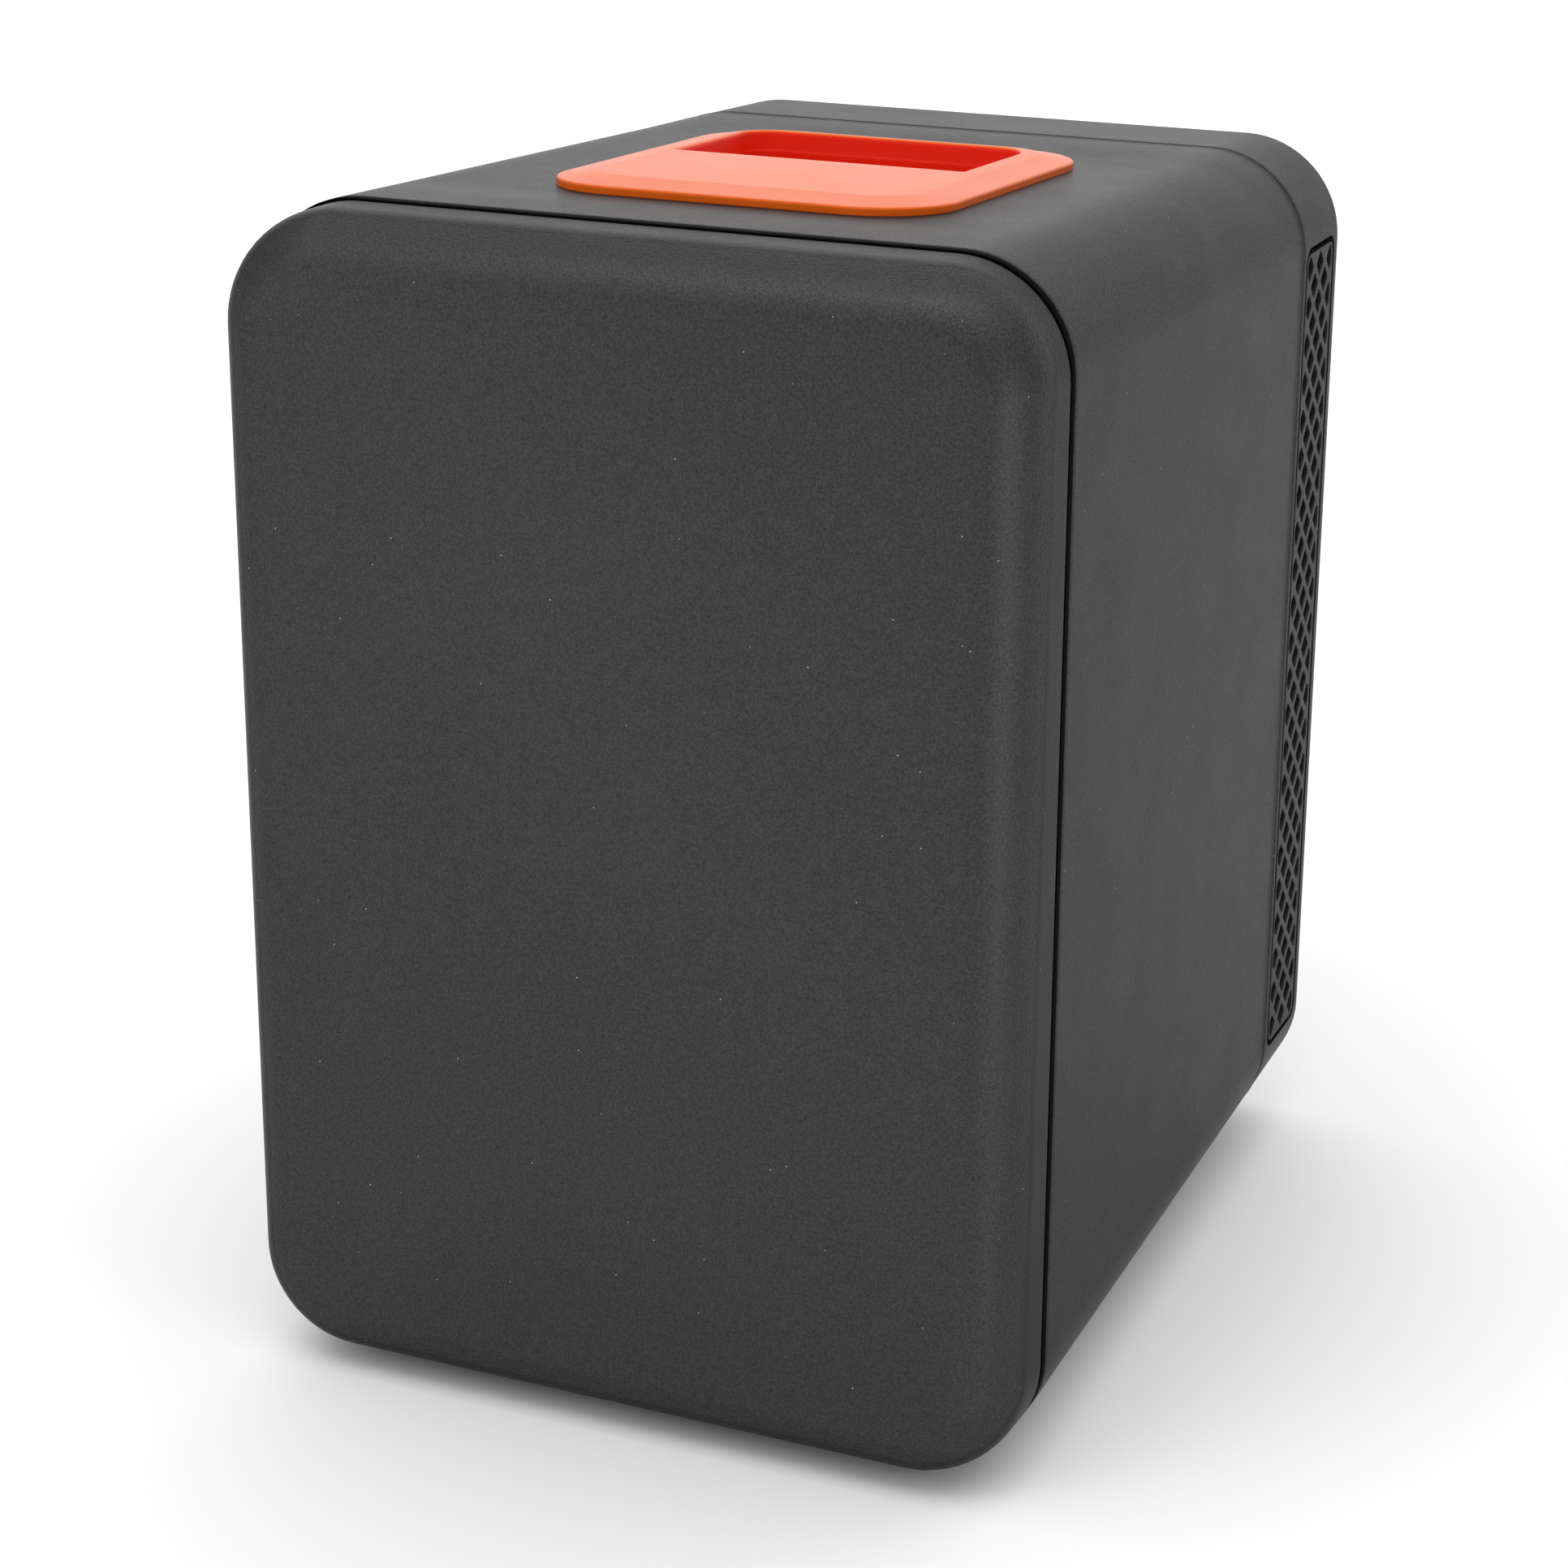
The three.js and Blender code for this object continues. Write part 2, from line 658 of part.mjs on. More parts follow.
function innerFanCover() {
  const half = FAN_COVER_HALF;
  const front = INNER_FAN_FRONT - 3.5;
  const outline = roundedRectangle(-half, half, COOLER_Z - half, COOLER_Z + half, 8);
  const room = roundedRectangle(
    -half + 2,
    half - 2,
    COOLER_Z - half + 2,
    COOLER_Z + half - 2,
    6,
  );
  const cup = cut(
    slabY(outline, front, CAVITY_BACK - GAP, 4),
    slabY(room, front + 2.2, CAVITY_BACK + 1, 4),
  );
  const slots = [];
  const slotPitch = 7;
  for (let i = -3; i <= 3; i++) {
    const reach = Math.sqrt(27 ** 2 - (i * slotPitch) ** 2);
    const z = COOLER_Z + i * slotPitch;
    slots.push(block(0, reach, front - 1, front + 3, z - 2, z + 2));
  }
  const outlets = [-1, 1].map((side) =>
    block(side * (half - 1), 3, front + 8, CAVITY_BACK - 4, COOLER_Z - 28, COOLER_Z + 28),
  );
  return cut(cup, ...slots, ...outlets);
}

// ---------------------------------------------------------------- power and controls

function acInlet() {
  const housing = socketBlock(AC_X, AC_HALF_SIZE, SOCKET_FLOOR - 6, COVER_BACK);
  const lobes = [-1, 1].map((side) =>
    rodY(AC_X + side * AC_PIN_OFFSET, INLET_Z, SOCKET_FLOOR, COVER_BACK + 1, AC_LOBE_RADIUS, 16),
  );
  const bridge = socketBlock(AC_X, [AC_PIN_OFFSET, 3.4], SOCKET_FLOOR, COVER_BACK + 1);
  const pinHoles = AC_PINS.map(([, x]) =>
    rodY(x, INLET_Z, SOCKET_FLOOR - 7, SOCKET_FLOOR + 1, AC_PIN_RADIUS + GAP, 8),
  );
  return cut(housing, ...lobes, bridge, ...pinHoles);
}

function dcInlet() {
  const barrel = rodY(DC_X, INLET_Z, SOCKET_FLOOR - 5, COVER_BACK, DC_RADIUS, 20);
  const socket = rodY(DC_X, INLET_Z, SOCKET_FLOOR, COVER_BACK + 1, DC_SOCKET_RADIUS, 20);
  const pinHole = rodY(DC_X, INLET_Z, SOCKET_FLOOR - 6, SOCKET_FLOOR + 1, DC_PIN_RADIUS + GAP, 8);
  return cut(barrel, socket, pinHole);
}

function switchBezel() {
  const front = COVER_BACK - 9;
  const outer = socketBlock(SWITCH_X, SWITCH_HALF_SIZE, front, COVER_BACK);
  return cut(outer, socketBlock(SWITCH_X, SWITCH_OPENING_HALF, front - 1, COVER_BACK + 1));
}

// The rocker turns about X; its two faces meet in a shallow valley.
function modeRocker() {
  const profile = new THREE.Shape();
  profile.moveTo(-9.6, -2);
  profile.lineTo(9.6, -2);
  profile.lineTo(10.2, 5.2);
  profile.lineTo(0, 3.6);
  profile.lineTo(-10.2, 5.2);
  profile.closePath();
  const slab = new THREE.ExtrudeGeometry(profile, {
    depth: 2 * ROCKER_HALF_WIDTH,
    bevelEnabled: false,
  });
  // A quarter turn about Y stands the profile upright, with its y still pointing out of the back.
  return solid(slab.rotateY(Math.PI / 2).translate(SWITCH_X - ROCKER_HALF_WIDTH, ROCKER_Y, INLET_Z));
}

function indicatorLens(x) {
  const profile = [
    [0, 0],
    [2, 0],
    [2, 5.4],
    [1.4, 6.3],
    [0, 6.7],
  ].map(([radius, y]) => new THREE.Vector2(radius, y));
  const lens = new THREE.LatheGeometry(profile, 12);
  return solid(lens.translate(x, COVER_BACK - 6.8, INLET_Z));
}

function powerBoard() {
  const board = box(-72, 72, 188, 244, BOARD_Z, BOARD_Z + 1.6);
  const rail = box(-72, 72, 187, 191, BOARD_Z - 6, BOARD_Z + 0.5);
  return join(board, rail);
}

function transformer() {
  const core = box(-58, -26, 204, 232, BOARD_Z + 1.9, BOARD_Z + 25);
  const bobbin = box(-53, -31, 200, 236, BOARD_Z + 4, BOARD_Z + 21);
  return join(core, bobbin);
}

function regulatorSink() {
  const base = box(14, 46, 214, 218, BOARD_Z + 1.9, BOARD_Z + 26);
  const fins = [0, 1, 2, 3].map((i) => {
    const left = 14 + 9.6 * i;
    return box(left, left + 3.2, 217, 228, BOARD_Z + 1.9, BOARD_Z + 26);
  });
  return join(base, ...fins);
}

// ---------------------------------------------------------------- shelf, feet, screws

function shelf() {
  const z = RAIL_HEIGHTS[1] + GAP;
  const half = CAVITY_HALF_WIDTH - 1;
  const plate = block(0, half, SHELF_FRONT, SHELF_BACK, z, z + SHELF_THICKNESS);
  const slots = [];
  for (let i = -3; i <= 3; i++) {
    slots.push(block(i * 25, 7, SHELF_FRONT + 10, SHELF_BACK - 10, z - 1, z + 4));
  }
  const lip = block(0, half, SHELF_FRONT, SHELF_FRONT + 2.5, z, z + SHELF_LIP);
  const back = block(0, half, SHELF_BACK - 2, SHELF_BACK, z, z + SHELF_LIP);
  return join(cut(plate, ...slots), lip, back);
}

// A rubber foot reaches from the ground to the sloping underside above it.
function foot(x, y) {
  const top = DRAFT * (y - 9) - GAP;
  const height = FOOT_HEIGHT + top;
  const profile = [
    [0, 0],
    [8, 0],
    [9, 1],
    [9, height],
    [0, height],
  ].map(([radius, z]) => new THREE.Vector2(radius, z));
  const made = new THREE.LatheGeometry(profile, 16).rotateX(Math.PI / 2);
  return solid(made.translate(x, y, -FOOT_HEIGHT));
}

function rearScrew(x, z) {
  const head = rodY(x, z, COVER_BACK - 2.3, COVER_BACK - 0.4, SCREW_HEAD_RADIUS, 12);
  const shank = rodY(x, z, 246, COVER_BACK - 1, SCREW_SHANK_RADIUS, 8);
  const cross = [
    block(x, 0.5, COVER_BACK - 1.3, COVER_BACK, z - 2.2, z + 2.2),
    block(x, 2.2, COVER_BACK - 1.3, COVER_BACK, z - 0.5, z + 0.5),
  ];
  return cut(join(head, shank), ...cross);
}

// ---------------------------------------------------------------- hinge

// A knuckle round the hinge line, with a leaf that runs back into the body or on into the door.
function knuckle(z, direction) {
  const barrel = rodZ(HINGE_X, HINGE_Y, z, z + KNUCKLE_LENGTH, KNUCKLE_RADIUS, 16);
  const y0 = direction > 0 ? HINGE_Y : HINGE_Y - DOOR_LEAF_LENGTH;
  const y1 = direction > 0 ? HINGE_Y + BODY_LEAF_LENGTH : HINGE_Y;
  const inner = HINGE_X + 2.1;
  const leaf = box(inner - LEAF_THICKNESS, inner, y0, y1, z, z + KNUCKLE_LENGTH);
  const bore = rodZ(HINGE_X, HINGE_Y, z - 1, z + KNUCKLE_LENGTH + 1, PIN_RADIUS + GAP, 12);
  return cut(join(barrel, leaf), bore);
}

function hingePin(z) {
  const shaft = rodZ(HINGE_X, HINGE_Y, z - 0.8, z + 2 * KNUCKLE_LENGTH + 1, PIN_RADIUS, 12);
  const head = rodZ(HINGE_X, HINGE_Y, z - 2.2, z - GAP, 2.4, 12);
  return join(shaft, head);
}

// ---------------------------------------------------------------- door

// Rings of the door's outer form, drawn in by inset from the outside.
function doorRings(inset, back) {
  const rings = [];
  for (let step = DOOR_FILLET_STEPS; step >= 0; step--) {
    const angle = (step / DOOR_FILLET_STEPS) * (Math.PI / 2);
    const depth = (DOOR_FILLET_DEPTH - inset) * Math.sin(angle);
    const draw = DOOR_FILLET_WIDTH * (1 - Math.cos(angle));
    rings.push(casingRing(DOOR_FRONT + DOOR_FILLET_DEPTH - depth, inset + draw));
  }
  rings.push(casingRing(back, inset));
  return rings;
}

function doorOuterShell() {
  const outside = doorRings(0, DOOR_BACK - 0.8);
  outside.push(casingRing(DOOR_BACK, 0.8));
  const skin = cut(loft(outside), loft(doorRings(WALL, DOOR_BACK + 1)));
  const notches = HINGE_HEIGHTS.map((z) =>
    rodZ(HINGE_X, HINGE_Y, z - 2.6, z + 2 * KNUCKLE_LENGTH + 2, KNUCKLE_RADIUS + 0.4, 16),
  );
  return cut(skin, ...notches);
}

function plugOutline(grow) {
  return roundedRectangle(
    -PLUG_HALF_WIDTH - grow,
    PLUG_HALF_WIDTH + grow,
    PLUG_FLOOR - grow,
    PLUG_TOP + grow,
    PLUG_RADIUS + grow,
  );
}

function doorNotches() {
  return HINGE_HEIGHTS.map((z) =>
    box(-119, -111.6, -30, 0, z - 3, z + 2 * KNUCKLE_LENGTH + 2.4),
  );
}

function doorInnerLiner() {
  const flange = casing(DOOR_LINER_BACK - DOOR_LINER_WALL, DOOR_LINER_BACK, WALL + GAP);
  const plug = slabY(plugOutline(0), DOOR_LINER_BACK - 1, PLUG_BACK);
  const hollow = slabY(plugOutline(-DOOR_LINER_WALL), -12, PLUG_BACK - DOOR_LINER_WALL);
  const ledges = RACK_PLACES.flatMap(([, z]) => rackLedges(z));
  return join(cut(join(flange, plug), hollow, ...doorNotches()), ...ledges);
}

function doorFoam() {
  const core = loft(doorRings(WALL + GAP, DOOR_LINER_BACK - DOOR_LINER_WALL - GAP));
  const inPlug = slabY(plugOutline(-DOOR_LINER_WALL - GAP), -12, PLUG_BACK - DOOR_LINER_WALL - GAP);
  return cut(join(core, inPlug), ...doorNotches());
}

function doorGasket() {
  const front = DOOR_LINER_BACK + GAP;
  const ring = cut(casing(front, FRAME_SEAT - GAP, 9), casing(front - 1, FRAME_SEAT, 15.5));
  const groove = cut(casing(-5, -3, 8), casing(-6, -2, 10.2));
  return cut(ring, groove);
}

// Two pegs under each rack and a pair of upright guides that hold its ears.
function rackLedges(z) {
  return [-1, 1].flatMap((side) => [
    block(side * 60, 8, PLUG_BACK - 0.5, PLUG_BACK + 8, z - 4.3, z - GAP),
    block(side * 84.6, 1.4, PLUG_BACK - 0.5, PLUG_BACK + 4.6, z + 4, z + 34),
    block(side * 83, 3, PLUG_BACK + 2.9, PLUG_BACK + 4.6, z + 4, z + 34),
  ]);
}

function doorRack(z, height) {
  const y0 = PLUG_BACK + GAP;
  const y1 = y0 + RACK_REACH;
  const outline = roundedRectangle(-RACK_HALF_WIDTH, RACK_HALF_WIDTH, y0, y1, 6);
  const outside = slabZ(outline, z, z + height, 4);
  const inside = slabZ(
    roundedRectangle(-RACK_HALF_WIDTH + 2, RACK_HALF_WIDTH - 2, y0 + 2, y1 - 2, 4),
    z + 2,
    z + height + 1,
    4,
  );
  const slots = [];
  for (let i = -2; i <= 2; i++) {
    slots.push(block(i * 27, 10, y1 - 3, y1 + 1, z + 10, z + height - 12));
  }
  const ears = [-1, 1].map((side) => block(side * 79.4, 3, y0, y0 + 2, z + 3, z + 36));
  return join(cut(outside, inside, ...slots), ...ears);
}

// ---------------------------------------------------------------- materials and assembly

function plastic(color, roughness = 0.55) {
  return new THREE.MeshStandardMaterial({ color, roughness, metalness: 0 });
}

function metal(color, roughness = 0.35) {
  return new THREE.MeshStandardMaterial({ color, roughness, metalness: 1 });
}

const charcoal = () => plastic(0x35363a, 0.5);
const black = () => plastic(0x08080a, 0.6);
const orange = () => plastic(0xe8480c, 0.4);
const paleGrey = () => plastic(0xd9dcdf, 0.45);
const clear = () => plastic(0xc9d6dd, 0.15);
const foamYellow = () => plastic(0xe6d9a8, 0.95);
const rubber = () => plastic(0x1c1c1e, 0.85);
const aluminium = () => metal(0xb9bdc2, 0.4);
const steel = () => metal(0x9a9da2, 0.3);
const ceramic = () => plastic(0xf2f0ea, 0.7);
const boardGreen = () => plastic(0x1f5a34, 0.6);

const fridge = new THREE.Group();
const depthMiddle = (DOOR_FRONT + COVER_BACK) / 2;
fridge.position.set(0, -depthMiddle, FOOT_HEIGHT);

function add(name, shape, material, parent = fridge) {
  const mesh = new THREE.Mesh(geometryOf(shape), material);
  mesh.name = name;
  parent.add(mesh);
  return mesh;
}

add("outer_shell", outerShell(), charcoal());
add("front_frame", frontFrame(), black());
add("inner_liner", innerLiner(), paleGrey());
add("insulation_foam", insulationFoam(), foamYellow());
add("rear_bulkhead", rearBulkhead(), black());
add("rear_cover", rearCover(), charcoal());
add("rear_grille", rearGrille(), charcoal());
add("inlet_panel", inletPanel(), charcoal());

// The vent panels lean with the casing's sides, one the mirror image of the other.
const ventMiddle = (VENT_FRONT + VENT_BACK) / 2;
for (const [name, side] of [
  ["side_vent_right", 1],
  ["side_vent_left", -1],
]) {
  const panel = geometryOf(sideVentPanel()).translate(0, -ventMiddle, 0);
  if (side < 0) panel.rotateZ(Math.PI);
  const holder = new THREE.Group();
  holder.position.set(side * (WIDTH / 2 - DRAFT * ventMiddle), ventMiddle, 0);
  holder.rotation.z = side * ROOF_LEAN;
  const mesh = new THREE.Mesh(panel, charcoal());
  mesh.name = name;
  holder.add(mesh);
  fridge.add(holder);
}

// The handle leans with the roof it is let into.
const handleHolder = new THREE.Group();
handleHolder.position.z = HEIGHT;
handleHolder.rotation.x = -ROOF_LEAN;
fridge.add(handleHolder);
add("handle_insert", handleInsert(), orange(), handleHolder);

add("cold_heat_sink", finnedSink(36, 162.2, 4, 9.6, 1.6, 13, -1), aluminium());
add("cold_block", box(-20, 20, 166.5, 181.7, COOLER_Z - 20, COOLER_Z + 20), aluminium());
add("peltier_module", box(-20, 20, 182, 185.8, COOLER_Z - 20, COOLER_Z + 20), ceramic());
add(
  "hot_heat_sink",
  finnedSink(HOT_SINK_HALF, HOT_SINK_FRONT, HOT_SINK_BASE, HOT_FIN_DEPTH, 1.8, 17, 1),
  aluminium(),
);
add("rear_fan_frame", fanFrame(REAR_FAN_HALF, REAR_FAN_FRONT, REAR_FAN_DEPTH, REAR_FAN_BORE, 17), black());
add("rear_fan_rotor", fanRotor(REAR_FAN_FRONT + 4.5, 18, 18, REAR_FAN_TIP, FAN_BLADES), black());
add(
  "inner_fan_frame",
  fanFrame(INNER_FAN_HALF, INNER_FAN_FRONT, INNER_FAN_DEPTH, INNER_FAN_BORE, 11),
  black(),
);
add("inner_fan_rotor", fanRotor(INNER_FAN_FRONT + 2.4, 6, 11, INNER_FAN_TIP, FAN_BLADES), black());
add("inner_fan_cover", innerFanCover(), paleGrey());

add("ac_inlet", acInlet(), black());
for (const [name, x] of AC_PINS) add(name, rodY(x, INLET_Z, 252, 264, AC_PIN_RADIUS, 8), steel());
add("dc_inlet", dcInlet(), black());
add("dc_inlet_pin", rodY(DC_X, INLET_Z, 252, 264.5, DC_PIN_RADIUS, 8), steel());
add("switch_bezel", switchBezel(), black());
add("mode_rocker", modeRocker(), black());
for (const [name, x] of LED_PLACES) add(name, indicatorLens(x), clear());
add("power_board", powerBoard(), boardGreen());
add("transformer", transformer(), steel());
add("regulator_sink", regulatorSink(), aluminium());
add("capacitor", rodZ(-6, 216, BOARD_Z + 1.9, BOARD_Z + 27, 8, 20), black());

add("shelf", shelf(), clear());
for (const [name, x, y] of FOOT_PLACES) add(name, foot(x, y), rubber());
SCREW_PLACES.forEach(([x, z], i) => add("rear_screw_" + (i + 1), rearScrew(x, z), steel()));

const hingeNames = ["lower", "upper"];
HINGE_HEIGHTS.forEach((z, i) => {
  const name = hingeNames[i];
  add("body_knuckle_" + name, knuckle(z, 1), black());
  add("door_knuckle_" + name, knuckle(z + KNUCKLE_LENGTH + GAP, -1), black());
  add("hinge_pin_" + name, hingePin(z), steel());
});

add("door_outer_shell", doorOuterShell(), charcoal());
add("door_inner_liner", doorInnerLiner(), paleGrey());
add("door_foam", doorFoam(), foamYellow());
add("door_gasket", doorGasket(), rubber());
for (const [name, z, height] of RACK_PLACES) add(name, doorRack(z, height), clear());

export default fridge;
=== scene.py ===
"""A 9 litre mini fridge: a charcoal casing with a full-front door, an orange carrying handle let into
the roof and diamond-pattern air vents in the sides of its rear cover.

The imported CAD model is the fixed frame; the detailed pieces below are drawn round it in millimetres:
x across, y as depth behind the body's front edge, z as height above the body's underside."""

import json
import math

import bmesh
import bpy
from mathutils import Matrix, Vector, geometry


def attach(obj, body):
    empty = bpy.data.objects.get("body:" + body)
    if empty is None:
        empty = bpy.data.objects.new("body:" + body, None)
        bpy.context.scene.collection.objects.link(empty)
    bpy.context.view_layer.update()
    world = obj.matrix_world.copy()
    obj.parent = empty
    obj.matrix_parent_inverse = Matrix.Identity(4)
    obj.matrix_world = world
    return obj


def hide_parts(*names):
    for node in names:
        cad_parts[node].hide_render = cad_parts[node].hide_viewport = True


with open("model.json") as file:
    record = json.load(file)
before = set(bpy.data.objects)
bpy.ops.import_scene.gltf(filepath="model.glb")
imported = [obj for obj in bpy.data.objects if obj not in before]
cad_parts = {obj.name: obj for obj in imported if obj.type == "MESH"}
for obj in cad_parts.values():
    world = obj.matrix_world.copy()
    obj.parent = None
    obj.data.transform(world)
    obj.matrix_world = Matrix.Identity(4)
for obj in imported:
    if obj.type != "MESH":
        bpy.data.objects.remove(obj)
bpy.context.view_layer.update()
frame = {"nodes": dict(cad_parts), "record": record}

# ------------------------------------------------------------------ sizes, in millimetres

FOOT_HEIGHT = 4
WIDTH = 240
HEIGHT = 340
CORNER_RADIUS = 31.4
DRAFT = 0.03
ROOF_LEAN = math.atan(DRAFT)
WALL = 2.5
GAP = 0.3
ARC_STEPS = 16
EDGE_STEPS = 10

DOOR_FRONT = -34
DOOR_BACK = -4
DOOR_FILLET_WIDTH = 15
DOOR_FILLET_DEPTH = 19
DOOR_DROP_LEFT = 0.6
DOOR_DROP_TOP = 0.5
FRAME_FRONT = -3.6
FRAME_SEAT = -1.8
SHELL_BACK = 222.2
COVER_FRONT = 223.8
COVER_BACK = 271
COVER_FILLET = 8
DEPTH_MIDDLE = (DOOR_FRONT + COVER_BACK) / 2

CAVITY_HALF_WIDTH = 98
CAVITY_FLOOR = 24
CAVITY_TOP = 298
CAVITY_BACK = 164
CAVITY_RADIUS = 14
RAIL_HEIGHTS = (92, 148)
SHELF_FRONT = 56
SHELF_BACK = 138
SHELF_THICKNESS = 3
SHELF_LIP = 8

HINGE_X = -116.4
HINGE_Y = -3.95
HINGE_HEIGHTS = (48, 268)
KNUCKLE_LENGTH = 12
KNUCKLE_RADIUS = 3.2

PLUG_BACK = 7
PLUG_HALF_WIDTH = 92
PLUG_FLOOR = 30
PLUG_TOP = 292
PLUG_RADIUS = 12
DOOR_LINER_BACK = -6.3
RACKS = (("lower", 44, 62), ("upper", 176, 44))
RACK_HALF_WIDTH = 78
RACK_REACH = 33

VENT = (226.7, 260.8, 35.7, 303.1)
VENT_RADIUS = 5.5
VENT_GROOVE = 1.9
DIAMOND_HALF = 4.15
DIAMOND_CORNER = 0.9
DIAMOND_PITCH_Y = 11.75
DIAMOND_PITCH_Z = 12.09
DIAMOND_ROWS = 22
DIAMOND_FIRST_Z = 42.5
DIAMOND_CLIP = (229.6, 257.3)

COOLER_Z = 200
GRILLE_RADIUS = 47
FAN_BLADES = 7
FAN_COVER_HALF = 42
FAN_COVER_FRONT = 139
COLD_WINDOW_HALF = 37

INLET_Z = 58
AC_X = -46
AC_HALF = (15, 9)
AC_LOBE_OFFSET = 4.3
AC_LOBE_RADIUS = 4.4
SOCKET_FLOOR = 256
DC_X = 48
DC_RADIUS = 9
SWITCH_HALF = (10, 14)
SWITCH_OPENING_HALF = (7.6, 11.6)
ROCKER_Y = 265.4
ROCKER_HALF_WIDTH = 7
PANEL_HALF = (74, 19)
LED_X = (22, -22)
LED_DEPTH = 6.8
SCREWS = ((-88, 30), (88, 30), (-84, 306), (84, 306))
FEET = (
    ("foot_front_left", -84, 24),
    ("foot_front_right", 84, 24),
    ("foot_rear_left", -80, 200),
    ("foot_rear_right", 80, 200),
)

# The left front edge of the casing leans back from here, to let the open door's side swing past.
RELIEF_X = -114.9
RELIEF_Y = -0.3
RELIEF_SLOPE = 0.41

# The roof sinks round the handle by this much, and this is where the dip begins and is full.
ROOF_SINK = 0.9
SINK_ACROSS = (104, 66)
SINK_FRONT = (14, 40)
SINK_BACK = (212, 184)

# ------------------------------------------------------------------ mesh helpers


def row(point):
    """A point in millimetres as a point in the row frame, in metres."""
    x, y, z = point
    return Vector((x, y - DEPTH_MIDDLE, z + FOOT_HEIGHT)) / 1000


def rounded(left, right, low, high, radii, steps=ARC_STEPS, edge=1):
    """A rounded rectangle as a ring of (a, b) pairs.

    The radii go high right, high left, low left, low right."""
    corners = (
        (right, high, -1, -1),
        (left, high, 1, -1),
        (left, low, 1, 1),
        (right, low, -1, 1),
    )
    ring = []
    for corner, (a, b, inward_a, inward_b) in enumerate(corners):
        radius = radii[corner]
        for step in range(steps + 1):
            angle = (corner + step / steps) * math.pi / 2
            ring.append((
                a + inward_a * radius + radius * math.cos(angle),
                b + inward_b * radius + radius * math.sin(angle),
            ))
    if edge == 1:
        return ring
    dense = []
    per_corner = steps + 1
    for i, start in enumerate(ring):
        dense.append(start)
        if i % per_corner == per_corner - 1:
            end = ring[(i + 1) % len(ring)]
            for k in range(1, edge):
                t = k / edge
                dense.append((start[0] + (end[0] - start[0]) * t, start[1] + (end[1] - start[1]) * t))
    return dense


def casing(y, inset, lean_depth=None, edge=1):
    """The casing's outline at depth y, drawn in by inset, as a ring of points."""
    shrink = DRAFT * max(y if lean_depth is None else lean_depth, 0) + inset
    half_width = WIDTH / 2 - shrink
    radius = max(CORNER_RADIUS - inset, 2)
    low, high = shrink, HEIGHT - shrink
    ring = rounded(-half_width, half_width, low, high, (radius,) * 4, edge=edge)
    return [(x, y, z) for x, z in ring]


def cavity(y, grow):
    """The cavity's outline at depth y, grown outwards."""
    radius = max(CAVITY_RADIUS + grow, 1)
    ring = rounded(
        -CAVITY_HALF_WIDTH - grow,
        CAVITY_HALF_WIDTH + grow,
        CAVITY_FLOOR - grow,
        CAVITY_TOP + grow,
        (radius,) * 4,
    )
    return [(x, y, z) for x, z in ring]


def mesh_of(bm, name):
    bmesh.ops.recalc_face_normals(bm, faces=bm.faces)
    mesh = bpy.data.meshes.new(name)
    bm.to_mesh(mesh)
    bm.free()
    return mesh


def loft(rings, closed=False):
    """A skin through rings of equal length; closed joins the last ring to the first."""
    bm = bmesh.new()
    rows = [[bm.verts.new(row(p)) for p in ring] for ring in rings]
    count = len(rings[0])
    pairs = list(zip(rows, rows[1:]))
    if closed:
        pairs.append((rows[-1], rows[0]))
    for a, b in pairs:
        for i in range(count):
            j = (i + 1) % count
            bm.faces.new((a[i], a[j], b[j], b[i]))
    if not closed:
        bm.faces.new(rows[0])
        bm.faces.new(rows[-1])
    return bm


def bar(x0, x1, y0, y1, z0, z1, bevel=0.6, segments=3):
    """A block with rounded edges."""
    bm = bmesh.new()
    made = bmesh.ops.create_cube(bm, size=1)
    for v in made["verts"]:
        v.co = row((
            x0 if v.co.x < 0 else x1,
            y0 if v.co.y < 0 else y1,
            z0 if v.co.z < 0 else z1,
        ))
    if bevel:
        bmesh.ops.bevel(
            bm, geom=bm.edges[:], offset=bevel / 1000, segments=segments, affect="EDGES", profile=0.5,
        )
    return bm


def side_bar(side, near, far, *rest):
    """A bar between two distances from the middle, on the right for side 1 and the left for -1."""
    low, high = sorted((side * near, side * far))
    return bar(low, high, *rest)


def lathe(centre, axis, profile, sides=48):
    """Revolves (radius, height) pairs about the axis through centre; ends on the axis are closed."""
    bm = bmesh.new()
    toward = {"X": Vector((1, 0, 0)), "Y": Vector((0, 1, 0)), "Z": Vector((0, 0, 1))}[axis]
    side = Vector((0, 0, 1)) if axis != "Z" else Vector((1, 0, 0))
    other = toward.cross(side)
    rows = []
    for radius, height in profile:
        base = Vector(centre) + toward * height
        if radius < 1e-6:
            rows.append([bm.verts.new(row(base))])
            continue
        ring = []
        for i in range(sides):
            turn = 2 * math.pi * i / sides
            outward = side * math.cos(turn) + other * math.sin(turn)
            ring.append(bm.verts.new(row(base + outward * radius)))
        rows.append(ring)
    for a, b in zip(rows, rows[1:]):
        for i in range(sides):
            j = (i + 1) % sides
            if len(a) == 1 and len(b) > 1:
                bm.faces.new((a[0], b[i], b[j]))
            elif len(b) == 1 and len(a) > 1:
                bm.faces.new((a[i], a[j], b[0]))
            elif len(a) > 1:
                bm.faces.new((a[i], a[j], b[j], b[i]))
    if len(rows[0]) > 1:
        bm.faces.new(rows[0])
    if len(rows[-1]) > 1:
        bm.faces.new(rows[-1])
    return bm


def joined(*parts):
    """Several bmeshes as one; each is turned to face outwards first."""
    whole = bmesh.new()
    for part in parts:
        bmesh.ops.recalc_face_normals(part, faces=part.faces)
        scrap = bpy.data.meshes.new("scrap")
        part.to_mesh(scrap)
        part.free()
        whole.from_mesh(scrap)
        bpy.data.meshes.remove(scrap)
    return whole


